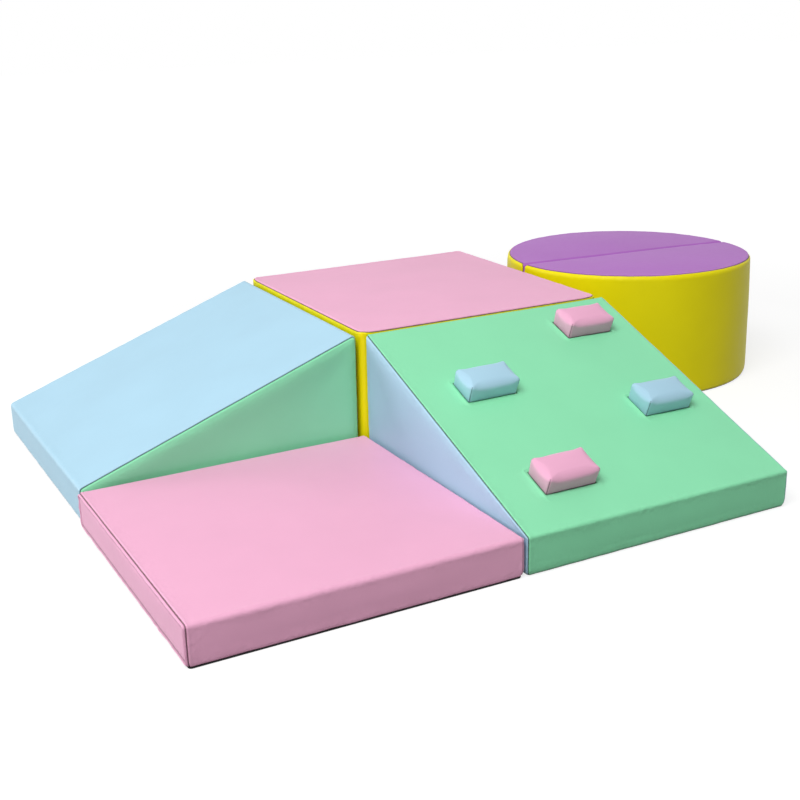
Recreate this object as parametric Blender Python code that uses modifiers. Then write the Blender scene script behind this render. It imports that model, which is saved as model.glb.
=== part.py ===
"""A soft play foam climber in metres, with +Z up and the origin on the floor under its middle.

Five forms stand together: a square platform block, a slide ramp on its left, a climbing ramp
with four padded holds in front of it, a low mat in the corner between the ramps, and a round
block in two halves on its right. Each block is a foam core in a cover of sewn vinyl panels
on a non-slip base. A zip low on a side that doesn't show opens the cover, and hook and loop
strips hold the blocks that touch.
"""

import math
from collections import namedtuple

import bmesh
import bpy
from mathutils import Matrix, Vector

# Platform block
BLOCK_WIDTH = 0.610
BLOCK_DEPTH = 0.612
BLOCK_HEIGHT = 0.305
BLOCK_CROWN = 0.004
POST_RADIUS = 0.014

# Slide ramp and climbing ramp
RAMP_LENGTH = 0.609
SLIDE_WIDTH = 0.616
SLIDE_HIGH = 0.299
CLIMB_WIDTH = 0.614
CLIMB_HIGH = 0.303
RAMP_LIP = 0.076
RAMP_CROWN = 0.003
CREST_RADIUS = 0.009
LIP_RADIUS = 0.013

# Corner mat
MAT_WIDTH = 0.620
MAT_DEPTH = 0.615
MAT_HEIGHT = 0.078
MAT_CROWN = 0.003
MAT_EDGE_RADIUS = 0.011

# Round block in two halves
ROUND_RADIUS = 0.321
ROUND_HEIGHT = 0.304
ROUND_CROWN = 0.007
HALF_GAP = 0.004
FLAT_SWELL = 0.0003

# Where the blocks stand, from the platform block's front left corner
JOIN_GAP = 0.007
SLIDE_SETBACK = 0.014
CLIMB_OFFSET = 0.006
MAT_SLIDE_GAP = 0.014
ROUND_CLEARANCE = 0.045
ROUND_SETBACK = 0.350
ROUND_TURN = math.radians(-4.8)

# Climbing holds, measured from the ramp's left side and down its slope from its crest
HOLD_LENGTH = 0.113
HOLD_DEPTH = 0.065
HOLD_HEIGHT = 0.036
HOLD_CORNER_RADIUS = 0.005
HOLD_EDGE_RADIUS = 0.008
HOLD_CROWN = 0.0025
HOLD_SWELL = 0.001
HOLD_LEFT_COLUMN = 0.152
HOLD_COLUMN_SPACING = 0.338
HOLD_FIRST_ROW = 0.098
HOLD_ROW_SPACING = 0.1435

# Covers and cores
COVER_THICKNESS = 0.001
FOAM_CLEARANCE = 0.0005
CLEARANCE = 0.0003
SEAM_RADIUS = 0.006
SEAM_GAP = 0.0007
SIDE_SWELL = 0.0015
DRAW_IN = 0.008
DRAW_HEIGHT = 0.020
BASE_THICKNESS = 0.003

# Zips: a tape with a coil down its middle, and a slider that straddles the coil
ZIP_TAPE_HEIGHT = 0.012
ZIP_TAPE_THICKNESS = 0.0008
ZIP_TAPE_RECESS = 0.0002
ZIP_COIL_HEIGHT = 0.0045
ZIP_COIL_PROUD = 0.0012
ZIP_COIL_CHAMFER = 0.0006
ZIP_END_MARGIN = 0.035
SLIDER_LENGTH = 0.009
SLIDER_WALL = 0.0007
SLIDER_FOOT_CLEARANCE = 0.0006
PULL_LENGTH = 0.018
PULL_WIDTH = 0.0045
PULL_THICKNESS = 0.0008
PULL_OVERLAP = 0.0002

# Hook and loop strips on the sides that are pressed together
STRIP_LENGTH = 0.300
STRIP_WIDTH = 0.025
STRIP_HEIGHT_ON_BLOCK = 0.120
STRIP_HEIGHT_ON_MAT = 0.044

# How far a cutter runs past what it cuts
CUT_OVERRUN = 0.004

# Shares of a span at which a cover or a core has a row of points
DRAW_LEVEL_SHARES = (0.4, 0.7, 1.0)
TALL_LEVEL_SHARES = (0.33, 0.67)
LOW_LEVEL_SHARES = (0.5,)
SPAN_SHARES = (0.25, 0.5, 0.75)
PANEL_RING_SHARES = (0.55,)
HALF_ROUND_STEPS = 14

QUARTER_TURN = math.pi / 2
SEAM_ANGLE = math.pi / 4
SEAM_HALF_GAP_ANGLE = SEAM_GAP / 2 / SEAM_RADIUS
POST_HALF_GAP_SHARE = SEAM_GAP / 2 / POST_RADIUS / QUARTER_TURN
COVER_BOTTOM = BASE_THICKNESS + CLEARANCE
ZIP_MIDDLE_HEIGHT = COVER_BOTTOM + ZIP_TAPE_HEIGHT / 2

# A layer lies this deep in the block, ends at this height and rounds its edges in these steps
Layer = namedtuple("Layer", "depth bottom seam_steps fold_steps")
COVER = Layer(0, COVER_BOTTOM, 2, 2)
CORE = Layer(COVER_THICKNESS + FOAM_CLEARANCE, BASE_THICKNESS + FOAM_CLEARANCE, 1, 2)

BLOCK_MIDDLE = Vector((BLOCK_WIDTH / 2, BLOCK_DEPTH / 2, 0))
SLIDE_MIDDLE = Vector((-JOIN_GAP - RAMP_LENGTH / 2, SLIDE_SETBACK + SLIDE_WIDTH / 2, 0))
CLIMB_MIDDLE = Vector((CLIMB_OFFSET + CLIMB_WIDTH / 2, -JOIN_GAP - RAMP_LENGTH / 2, 0))
MAT_RIGHT = CLIMB_OFFSET - JOIN_GAP
MAT_BACK = SLIDE_SETBACK - MAT_SLIDE_GAP
MAT_MIDDLE = Vector((MAT_RIGHT - MAT_WIDTH / 2, MAT_BACK - MAT_DEPTH / 2, 0))
ROUND_MIDDLE = Vector((BLOCK_WIDTH + ROUND_CLEARANCE + ROUND_RADIUS, ROUND_SETBACK, 0))

COLOURS = {
    "light blue": "B2D8EB",
    "mint green": "9BE9BE",
    "pink": "F3BEDC",
    "yellow": "D9D406",
    "purple": "BA78CA",
}


def linear(hex_colour):
    """The linear colour of an sRGB hex value."""
    parts = [int(hex_colour[at : at + 2], 16) / 255 for at in (0, 2, 4)]
    return [part / 12.92 if part <= 0.04045 else ((part + 0.055) / 1.055) ** 2.4 for part in parts]


def make_material(name, hex_colour, roughness, metallic=0.0):
    material = bpy.data.materials.new(name)
    material.use_nodes = True
    shader = material.node_tree.nodes["Principled BSDF"]
    shader.inputs["Base Color"].default_value = (*linear(hex_colour), 1)
    shader.inputs["Roughness"].default_value = roughness
    shader.inputs["Metallic"].default_value = metallic
    return material


def make_materials():
    looks = {name: make_material(f"{name} vinyl", colour, 0.45) for name, colour in COLOURS.items()}
    looks["foam"] = make_material("polyurethane foam", "E9E2CC", 0.95)
    looks["base"] = make_material("non-slip base cloth", "151515", 0.85)
    looks["zip"] = make_material("nylon zip", "2A2A2C", 0.6)
    looks["slider"] = make_material("nickel-plated zinc", "B9B9B5", 0.3, 1.0)
    looks["hook"] = make_material("hook strip", "1B1B1D", 0.8)
    looks["loop"] = make_material("loop strip", "222224", 0.95)
    return looks


def spread(start, end, steps):
    """Evenly spaced values, both ends included."""
    return [start + (end - start) * step / steps for step in range(steps + 1)]


def between(start, end, shares):
    """What lies at these shares of the way between two values or points."""
    return [start + (end - start) * share for share in shares]


def swell_at(height, top, swell):
    """How far a side bulges at this height: nothing by the floor and under the top edge."""
    level = (height - DRAW_HEIGHT) / (top - DRAW_HEIGHT)
    return max(0, swell * 4 * level * (1 - level))


def draw_at(height):
    """How far the base pulls a side in at this height."""
    return DRAW_IN * max(0, 1 - height / DRAW_HEIGHT) ** 2


def side_levels(bottom, shoulder, shares):
    """Heights up a side: through the drawn-in foot, then at these shares of the way up."""
    foot = [DRAW_HEIGHT * share for share in DRAW_LEVEL_SHARES]
    return [bottom, *foot, *between(DRAW_HEIGHT, shoulder, shares)]


def seam_rounding(angle, depth):
    """How far in from the side and down from the top a point of a rounded seam edge lies."""
    radius = SEAM_RADIUS - depth
    return SEAM_RADIUS - radius * math.cos(angle), SEAM_RADIUS - radius * math.sin(angle)


def arc(centre, radius, start, end, steps):
    """Points on an arc in a plane, ends included."""
    return [
        Vector((centre[0] + radius * math.cos(angle), centre[1] + radius * math.sin(angle)))
        for angle in spread(start, end, steps)
    ]


def fillet(before, corner, after, radius, steps):
    """An arc that rounds the corner between two straight lines."""
    towards_before = (before - corner).normalized()
    towards_after = (after - corner).normalized()
    half_angle = towards_before.angle(towards_after) / 2
    middle = (towards_before + towards_after).normalized()
    centre = corner + middle * (radius / math.sin(half_angle))
    start = corner + towards_before * (radius / math.tan(half_angle)) - centre
    turn = math.pi - 2 * half_angle
    if start.x * middle.y - start.y * middle.x > 0:
        turn = -turn
    first = math.atan2(start.y, start.x)
    return arc(centre, radius, first, first + turn, steps)


def corner_arc(half_x, half_y, radius, inset, quarter, shares, steps):
    """An arc round one corner of a rectangle, anticlockwise. Quarter 0 is the right back one."""
    side_x, side_y = ((1, 1), (-1, 1), (-1, -1), (1, -1))[quarter]
    centre = (side_x * (half_x - radius), side_y * (half_y - radius))
    start, end = (QUARTER_TURN * (quarter + share) for share in shares)
    return arc(centre, radius - inset, start, end, steps)


def joined(line, after):
    """A plan line carried on across a straight side to the points that come after."""
    return line + between(line[-1], after[0], SPAN_SHARES) + after


def shrink(ring, centre, share):
    return [centre + (point - centre) * share for point in ring]


def lift(outline, height):
    return [Vector((*point, height)) for point in outline]


class BoxForm:
    """A block on a rectangle, whose top may slope down towards -Y. Its frame is at its middle."""

    def __init__(self, width, length, high, low, crown):
        self.half_x = width / 2
        self.half_y = length / 2
        self.high = high
        self.low = low
        self.crown = crown
        self.middle = Vector((0, 0, low / 2))

    def top_at(self, y):
        return self.low + (self.high - self.low) * (y + self.half_y) / (2 * self.half_y)

    def soften(self, point):
        """Where a point of the plain block lies once its top is crowned and its sides swell."""
        x, y, z = point
        across = x / self.half_x
        along = y / self.half_y
        top = self.top_at(y)
        swell = swell_at(z, top, SIDE_SWELL)
        x += across * (swell * (1 - along**2) - draw_at(z))
        y += along * (swell * (1 - across**2) - draw_at(z))
        z += self.crown * (1 - across**2) * (1 - along**2) * z / top
        return Vector((x, y, z))


class HalfRoundForm:
    """Half of a round block. Its frame is on the round's axis and its flat side faces -Y."""

    def __init__(self, radius, height, crown):
        self.radius = radius
        self.height = height
        self.crown = crown
        self.middle = Vector((0, radius / 2, height / 2))

    def soften(self, point):
        """Where a point of the plain half lies once its top is crowned and its sides swell."""
        x, y, z = point
        across = x / self.radius
        away = y / self.radius
        swell = swell_at(z, self.height, SIDE_SWELL) * (1 - (1 - away) ** 2)
        flat_swell = swell_at(z, self.height, FLAT_SWELL) * (1 - across**2)
        dome = 4 * away * (1 - across**2 - away**2) / (1 + away)
        x += across * (swell - draw_at(z))
        y += away * (swell - draw_at(z)) + (1 - away) * (draw_at(z) - flat_swell)
        z += self.crown * dome * z / self.height
        return Vector((x, y, z))


def softened(form, rows):
    return [[form.soften(point) for point in row] for row in rows]


def grid_faces(bm, rows, closed=False):
    """Joins neighbouring rows of points with quads, and closes each row on itself if asked."""
    made = [[bm.verts.new(point) for point in row] for row in rows]
    for first, second in zip(made, made[1:]):
        for at in range(len(first) if closed else len(first) - 1):
            after = (at + 1) % len(first)
            bm.faces.new((first[at], first[after], second[after], second[at]))
    return made


def fan_faces(bm, ring, centre):
    hub = bm.verts.new(centre)
    for at, corner in enumerate(ring):
        bm.faces.new((corner, ring[(at + 1) % len(ring)], hub))


def add_object(name, bm, material, parent, collection):
    bmesh.ops.remove_doubles(bm, verts=bm.verts, dist=CLEARANCE / 10)
    bmesh.ops.recalc_face_normals(bm, faces=bm.faces)
    mesh = bpy.data.meshes.new(name)
    bm.to_mesh(mesh)
    bm.free()
    mesh.shade_smooth()
    mesh.set_sharp_from_angle(angle=math.radians(40))
    mesh.materials.append(material)
    thing = bpy.data.objects.new(name, mesh)
    thing.parent = parent
    collection.objects.link(thing)
    return thing


def add_panel(name, bm, middle, material, parent, collection):
    """A cover panel: an open skin that faces away from the block's middle, given its thickness."""
    panel = add_object(name, bm, material, parent, collection)
    outward = sum((face.center - middle).dot(face.normal) * face.area for face in panel.data.polygons)
    if outward < 0:
        panel.data.flip_normals()
    shell = panel.modifiers.new("cover thickness", "SOLIDIFY")
    shell.thickness = COVER_THICKNESS
    shell.offset = -1
    return panel


def add_ringed_panel(name, form, rings, centre, material, parent, collection):
    """A panel of rings that close in on its middle."""
    bm = bmesh.new()
    fan_faces(bm, grid_faces(bm, softened(form, rings), closed=True)[-1], form.soften(centre))
    return add_panel(name, bm, form.middle, material, parent, collection)


def add_banded_panel(name, form, rows, material, parent, collection):
    """A panel of rows that run from seam to seam."""
    bm = bmesh.new()
    grid_faces(bm, softened(form, rows))
    return add_panel(name, bm, form.middle, material, parent, collection)


def add_solid(name, rows, material, parent, collection, centres=(None, None)):
    """A closed body of closed rows, each end fanned to its centre or filled with one face."""
    bm = bmesh.new()
    made = grid_faces(bm, rows, closed=True)
    for ring, centre in zip((made[0], made[-1]), centres):
        if centre is None:
            bm.faces.new(ring)
        else:
            fan_faces(bm, ring, centre)
    return add_object(name, bm, material, parent, collection)


def add_box(name, low, high, material, parent, collection):
    bm = bmesh.new()
    size = Vector(high) - Vector(low)
    middle = (Vector(high) + Vector(low)) / 2
    bmesh.ops.create_cube(bm, size=1, matrix=Matrix.Translation(middle) @ Matrix.Diagonal((*size, 1)))
    return add_object(name, bm, material, parent, collection)


class WrappedBlock:
    """A ramp or mat: one wrap over its back, top and front, and a panel on each side."""

    def __init__(self, form, high_radius, low_radius):
        self.form = form
        self.high_radius = high_radius
        self.low_radius = low_radius

    def profile(self, depth, layer):
        """The wrap's line in side view, from the foot of the high end to that of the low end."""
        form = self.form
        slope = (form.high - form.low) / (2 * form.half_y)
        drop = depth * math.hypot(1, slope)
        back = form.half_y - depth
        back_foot = Vector((back, layer.bottom))
        back_top = Vector((back, form.top_at(back) - drop))
        front_top = Vector((-back, form.top_at(-back) - drop))
        front_foot = Vector((-back, layer.bottom))
        crest = fillet(back_foot, back_top, front_top, self.high_radius - depth, layer.fold_steps)
        lip = fillet(back_top, front_top, front_foot, self.low_radius - depth, layer.fold_steps)
        back_shares = TALL_LEVEL_SHARES if form.high > 2 * form.low else LOW_LEVEL_SHARES
        ups = side_levels(layer.bottom, crest[0].y, back_shares)
        downs = side_levels(layer.bottom, lip[-1].y, LOW_LEVEL_SHARES)
        line = [Vector((back, level)) for level in ups]
        line += crest + between(crest[-1], lip[0], SPAN_SHARES) + lip
        return line + [Vector((-back, level)) for level in reversed(downs)]

    def row(self, x, depth, layer):
        return [Vector((x, point.x, point.y)) for point in self.profile(depth, layer)]

    def ring(self, x, depth, layer):
        """The wrap's line closed along the floor."""
        row = self.row(x, depth, layer)
        return row + between(row[-1], row[0], SPAN_SHARES)

    def cross_rows(self, line, layer, seam_angle):
        """Rows across the block, from the seam on its left side to the one on its right."""
        angles = spread(seam_angle, QUARTER_TURN, layer.seam_steps)
        edges = [seam_rounding(angle, layer.depth) for angle in angles]
        left = [(inward - self.form.half_x, down) for inward, down in edges]
        right = [(-x, down) for x, down in reversed(left)]
        run = [(x, layer.depth) for x in between(left[-1][0], right[0][0], SPAN_SHARES)]
        return [line(x, depth, layer) for x, depth in left + run + right]

    def rounding_rows(self, line, side, layer, seam_angle):
        """Rows from a side's seam round to its flat. side is -1 on the left and 1 on the right."""
        rows = []
        for angle in spread(seam_angle, 0, layer.seam_steps):
            inward, down = seam_rounding(angle, layer.depth)
            rows.append(line(side * (self.form.half_x - inward), down, layer))
        return rows

    def fill_flat(self, bm, side, layer):
        """Makes the flat of a side: a band across its drawn-in foot, and rings above that."""
        edge = self.row(side * (self.form.half_x - layer.depth), SEAM_RADIUS, layer)
        feet = len(DRAW_LEVEL_SHARES)
        band = [joined(edge[at : at + 1], [edge[-1 - at]]) for at in range(feet + 1)]
        grid_faces(bm, softened(self.form, band))
        ring = edge[feet : len(edge) - feet] + band[-1][-2:0:-1]
        centre = sum(ring, Vector((0, 0, 0))) / len(ring)
        rings = [ring] + [shrink(ring, centre, share) for share in PANEL_RING_SHARES]
        made = grid_faces(bm, softened(self.form, rings), closed=True)
        fan_faces(bm, made[-1], self.form.soften(centre))

    def add_wrap(self, name, material, parent, collection):
        rows = self.cross_rows(self.row, COVER, SEAM_ANGLE + SEAM_HALF_GAP_ANGLE)
        return add_banded_panel(name, self.form, rows, material, parent, collection)

    def add_side(self, name, side, material, parent, collection):
        bm = bmesh.new()
        rows = self.rounding_rows(self.row, side, COVER, SEAM_ANGLE - SEAM_HALF_GAP_ANGLE)
        grid_faces(bm, softened(self.form, rows))
        self.fill_flat(bm, side, COVER)
        return add_panel(name, bm, self.form.middle, material, parent, collection)

    def add_core(self, name, material, parent, collection):
        bm = bmesh.new()
        left, right = (self.rounding_rows(self.ring, side, CORE, SEAM_ANGLE) for side in (-1, 1))
        rows = left[::-1] + self.cross_rows(self.ring, CORE, SEAM_ANGLE)[1:-1] + right
        grid_faces(bm, softened(self.form, rows), closed=True)
        for side in (-1, 1):
            self.fill_flat(bm, side, CORE)
        return add_object(name, bm, material, parent, collection)

    def base_outline(self):
        outline = []
        for quarter in range(4):
            place = (self.form.half_x, self.form.half_y, SEAM_RADIUS, 0, quarter)
            outline += corner_arc(*place, (0, 1), COVER.fold_steps)
        return outline


class BoxedBlock:
    """The platform block: a top panel, a boxing round three sides and a panel on the back."""

    def __init__(self, form):
        self.form = form

    def corner(self, inset, quarter, shares, steps):
        return corner_arc(self.form.half_x, self.form.half_y, POST_RADIUS, inset, quarter, shares, steps)

    def front_run(self, inset, gap_share, layer):
        """The plan line from the back left seam round the front to the back right seam."""
        line = self.corner(inset, 1, (0.5 + gap_share, 1), layer.seam_steps)
        for quarter in (2, 3):
            line = joined(line, self.corner(inset, quarter, (0, 1), layer.fold_steps))
        return joined(line, self.corner(inset, 0, (0, 0.5 - gap_share), layer.seam_steps))

    def back_run(self, inset, gap_share, layer):
        """The plan line from the back right seam along the back to the back left seam."""
        line = self.corner(inset, 0, (0.5 + gap_share, 1), layer.seam_steps)
        return joined(line, self.corner(inset, 1, (0, 0.5 - gap_share), layer.seam_steps))

    def outline(self, inset, gap_share, layer):
        """The whole plan line, as a ring."""
        front = self.front_run(inset, gap_share, layer)
        return front + self.back_run(inset, gap_share, layer)[1:-1]

    def side_rows(self, run, gap_share, layer, seam_angle):
        """Rows up a side: drawn in at the floor, straight, and rounded over to the top seam."""
        levels = side_levels(layer.bottom, self.form.high - SEAM_RADIUS, TALL_LEVEL_SHARES)
        rows = [lift(run(layer.depth, gap_share, layer), level) for level in levels]
        for angle in spread(0, seam_angle, layer.seam_steps):
            inward, down = seam_rounding(angle, layer.depth)
            rows.append(lift(run(inward, gap_share, layer), self.form.high - down))
        return rows

    def top_rings(self, layer, seam_angle):
        """Rings on the top, from its seam inwards, and its middle."""
        rings = []
        for angle in spread(seam_angle, QUARTER_TURN, layer.seam_steps):
            inward, down = seam_rounding(angle, layer.depth)
            rings.append(lift(self.outline(inward, 0, layer), self.form.high - down))
        centre = Vector((0, 0, self.form.high - layer.depth))
        return rings + [shrink(rings[-1], centre, share) for share in PANEL_RING_SHARES], centre

    def add_top(self, name, material, parent, collection):
        rings, centre = self.top_rings(COVER, SEAM_ANGLE + SEAM_HALF_GAP_ANGLE)
        return add_ringed_panel(name, self.form, rings, centre, material, parent, collection)

    def add_side(self, name, run, material, parent, collection):
        rows = self.side_rows(run, POST_HALF_GAP_SHARE, COVER, SEAM_ANGLE - SEAM_HALF_GAP_ANGLE)
        return add_banded_panel(name, self.form, rows, material, parent, collection)

    def add_core(self, name, material, parent, collection):
        rings, centre = self.top_rings(CORE, SEAM_ANGLE)
        rows = self.side_rows(self.outline, 0, CORE, SEAM_ANGLE) + rings[1:]
        centres = (None, self.form.soften(centre))
        return add_solid(name, softened(self.form, rows), material, parent, collection, centres)

    def base_outline(self):
        return self.outline(0, 0, COVER)


class HalfRoundBlock:
    """Half of the round block: a wrap up its flat side and over its top, and a curved boxing.

    The flat side's upper corners are rounded by a ball, across which the seam turns from the
    upright edge into the rim.
    """

    def __init__(self, form):
        self.form = form
        self.reach = form.radius - SEAM_RADIUS
        self.first_angle = math.asin(SEAM_RADIUS / self.reach)
        self.edge_x = self.reach * math.cos(self.first_angle)

    def direction(self, plan, rise):
        return Vector((
            math.cos(rise) * math.cos(plan),
            math.cos(rise) * math.sin(plan),
            math.sin(rise),
        ))

    def on_ball(self, direction, layer):
        """A point of the ball at the right corner of the flat side, in this direction."""
        centre = Vector((self.edge_x, SEAM_RADIUS, self.form.height - SEAM_RADIUS))
        return centre + direction * (SEAM_RADIUS - layer.depth)

    def on_rim(self, angle, rise, layer):
        """A point of the rounded rim over the curved side, at this angle round it."""
        foot = Vector((self.reach * math.cos(angle), self.reach * math.sin(angle), 0))
        shoulder = Vector((0, 0, self.form.height - SEAM_RADIUS))
        return foot + shoulder + self.direction(angle, rise) * (SEAM_RADIUS - layer.depth)

    def seam_direction(self, share, seam_angle):
        """The seam's course over the ball, from the upright edge to the rim."""
        start = self.direction(-seam_angle, 0)
        return start.slerp(self.direction(self.first_angle, seam_angle), share)

    def levels(self, layer):
        return side_levels(layer.bottom, self.form.height - SEAM_RADIUS, TALL_LEVEL_SHARES)

    def seam_shares(self, layer):
        return spread(0, 1, 2 * layer.seam_steps)

    def rim_angles(self):
        return spread(self.first_angle, math.pi - self.first_angle, HALF_ROUND_STEPS)

    def boxing_columns(self, layer, seam_angle):
        """Columns of points up the curved side, from its right end to its left end."""
        ends = []
        for share in self.seam_shares(layer)[:-1]:
            foot = self.direction(-seam_angle * (1 - share) + self.first_angle * share, 0)
            seam = self.seam_direction(share, seam_angle)
            side = self.on_ball(foot, layer)
            column = [Vector((side.x, side.y, level)) for level in self.levels(layer)]
            rises = spread(0, 1, layer.seam_steps)
            ends.append(column + [self.on_ball(foot.slerp(seam, rise), layer) for rise in rises])
        mirrored = [
            [Vector((-point.x, point.y, point.z)) for point in column] for column in reversed(ends)
        ]
        columns = []
        for angle in self.rim_angles():
            side = self.on_rim(angle, 0, layer)
            column = [Vector((side.x, side.y, level)) for level in self.levels(layer)]
            rises = spread(0, seam_angle, layer.seam_steps)
            columns.append(column + [self.on_rim(angle, rise, layer) for rise in rises])
        return ends + columns + mirrored

    def wrap_row(self, points):
        """A row across the wrap: points from the right seam to the flat, the run, and the rest."""
        edge = points[-1]
        opposite = Vector((-edge.x, edge.y, edge.z))
        mirrored = [Vector((-point.x, point.y, point.z)) for point in reversed(points)]
        return points + between(edge, opposite, SPAN_SHARES) + mirrored

    def flat_row(self, level, layer, seam_angle):
        plans = spread(-seam_angle, -QUARTER_TURN, layer.seam_steps)
        points = [self.on_ball(self.direction(plan, 0), layer) for plan in plans]
        return self.wrap_row([Vector((point.x, point.y, level)) for point in points])

    def wrap_rows(self, layer, seam_angle):
        """Rows up the flat side, over the fold and across the top, short of the last of the rim."""
        rows = [self.flat_row(level, layer, seam_angle) for level in self.levels(layer)]
        for share in self.seam_shares(layer):
            seam = self.seam_direction(share, seam_angle)
            fold = self.direction(-QUARTER_TURN, QUARTER_TURN * share)
            turns = spread(0, 1, layer.seam_steps)
            rows.append(self.wrap_row([self.on_ball(seam.slerp(fold, turn), layer) for turn in turns]))
        for angle in self.rim_angles()[1 : HALF_ROUND_STEPS // 2]:
            rows.append(self.wrap_row(self.rim_rounding(angle, layer, seam_angle)))
        return rows

    def rim_rounding(self, angle, layer, seam_angle):
        rises = spread(seam_angle, QUARTER_TURN, layer.seam_steps)
        return [self.on_rim(angle, rise, layer) for rise in rises]

    def fill_wrap(self, bm, layer, seam_angle):
        """Makes the wrap's faces. The top's last row closes on the middle of the rim."""
        row = grid_faces(bm, softened(self.form, self.wrap_rows(layer, seam_angle)))[-1]
        tip_points = self.rim_rounding(QUARTER_TURN, layer, seam_angle)
        tip = [bm.verts.new(self.form.soften(point)) for point in tip_points]
        steps = layer.seam_steps
        for at in range(steps):
            bm.faces.new((row[at], row[at + 1], tip[at + 1], tip[at]))
            bm.faces.new((row[-1 - at], tip[at], tip[at + 1], row[-2 - at]))
        for first, second in zip(row[steps:], row[steps + 1 : len(row) - steps]):
            bm.faces.new((first, second, tip[-1]))

    def add_wrap(self, name, material, parent, collection):
        bm = bmesh.new()
        self.fill_wrap(bm, COVER, SEAM_ANGLE + SEAM_HALF_GAP_ANGLE)
        return add_panel(name, bm, self.form.middle, material, parent, collection)

    def add_boxing(self, name, material, parent, collection):
        columns = self.boxing_columns(COVER, SEAM_ANGLE - SEAM_HALF_GAP_ANGLE)
        return add_banded_panel(name, self.form, columns, material, parent, collection)

    def add_core(self, name, material, parent, collection):
        bm = bmesh.new()
        self.fill_wrap(bm, CORE, SEAM_ANGLE)
        grid_faces(bm, softened(self.form, self.boxing_columns(CORE, SEAM_ANGLE)))
        bmesh.ops.remove_doubles(bm, verts=bm.verts, dist=CLEARANCE / 10)
        bmesh.ops.holes_fill(bm, edges=bm.edges)
        return add_object(name, bm, material, parent, collection)

    def base_outline(self):
        curved = [column[0].xy for column in self.boxing_columns(COVER, SEAM_ANGLE)]
        flat = [point.xy for point in self.flat_row(COVER_BOTTOM, COVER, SEAM_ANGLE)]
        return curved + flat[-2:0:-1]


def add_base(name, block, material, parent, collection):
    """The non-slip base: a flat plate that ends flush with the foot of the cover."""
    rows = [lift(block.base_outline(), level) for level in (0, BASE_THICKNESS)]
    return add_solid(name, softened(block.form, rows), material, parent, collection)


class Zip:
    """A zip along a straight side of a block, just over its base. axis is 0 along X and 1 along Y."""

    def __init__(self, form, axis, face, facing, side_length):
        self.form = form
        self.axis = axis
        self.face = face
        self.facing = facing
        self.half_length = side_length / 2 - ZIP_END_MARGIN

    def place(self, travel, out, height):
        """A point this far along the zip and out of its side. The zip's ends stand upright."""
        plain = Vector((0, 0, height))
        plain[self.axis] = travel
        plain[1 - self.axis] = self.face + self.facing * out
        place = self.form.soften(plain)
        place[self.axis] = travel
        return place

    def section(self):
        """The zip's section: how far out each point is, and how high."""
        low = COVER_BOTTOM
        high = low + ZIP_TAPE_HEIGHT
        outer = -ZIP_TAPE_RECESS
        inner = outer - ZIP_TAPE_THICKNESS
        coil_half = ZIP_COIL_HEIGHT / 2
        coil_flat = coil_half - ZIP_COIL_CHAMFER
        return [
            (inner, low),
            (outer, low),
            (outer, ZIP_MIDDLE_HEIGHT - coil_half),
            (ZIP_COIL_PROUD, ZIP_MIDDLE_HEIGHT - coil_flat),
            (ZIP_COIL_PROUD, ZIP_MIDDLE_HEIGHT + coil_flat),
            (outer, ZIP_MIDDLE_HEIGHT + coil_half),
            (outer, high),
            (inner, high),
            (inner, ZIP_MIDDLE_HEIGHT),
        ]

    def opening_section(self):
        reach = DRAW_IN + CUT_OVERRUN
        top = COVER_BOTTOM + ZIP_TAPE_HEIGHT + CLEARANCE
        levels = (-CUT_OVERRUN, COVER_BOTTOM, ZIP_MIDDLE_HEIGHT, top)
        return [(-reach, level) for level in levels] + [(reach, level) for level in reversed(levels)]

    def sweep(self, section, half_length):
        ends = (-half_length, half_length)
        return [[self.place(travel, *point) for point in section] for travel in ends]

    def open_panel(self, name, panel, parent, collection):
        """Cuts the zip's opening out of the foot of the panel over it."""
        rows = self.sweep(self.opening_section(), self.half_length + CLEARANCE)
        cutter = add_solid(name, rows, panel.data.materials[0], parent, collection)
        cutter.hide_render = True
        cutter.display_type = "WIRE"
        opening = panel.modifiers.new("zip opening", "BOOLEAN")
        opening.object = cutter

    def add_tape(self, name, material, parent, collection):
        rows = self.sweep(self.section(), self.half_length)
        return add_solid(name, rows, material, parent, collection)

    def slider_matrix(self, end):
        """The slider's frame near this end: X along the zip, Z square out of the drawn-in side."""
        travel = end * (self.half_length - PULL_LENGTH)
        seat = self.place(travel, -ZIP_TAPE_RECESS, ZIP_MIDDLE_HEIGHT)
        above = self.place(travel, 0, ZIP_MIDDLE_HEIGHT + ZIP_COIL_HEIGHT)
        below = self.place(travel, 0, ZIP_MIDDLE_HEIGHT - ZIP_COIL_HEIGHT)
        up = (above - below).normalized()
        ahead = Vector((0, 0, 0))
        ahead[self.axis] = end
        out = ahead.cross(up)
        if out.dot(above - self.form.middle) < 0:
            out = -out
        turn = Matrix((ahead, out.cross(ahead), out)).transposed()
        return Matrix.Translation(seat) @ turn.to_4x4()


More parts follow.
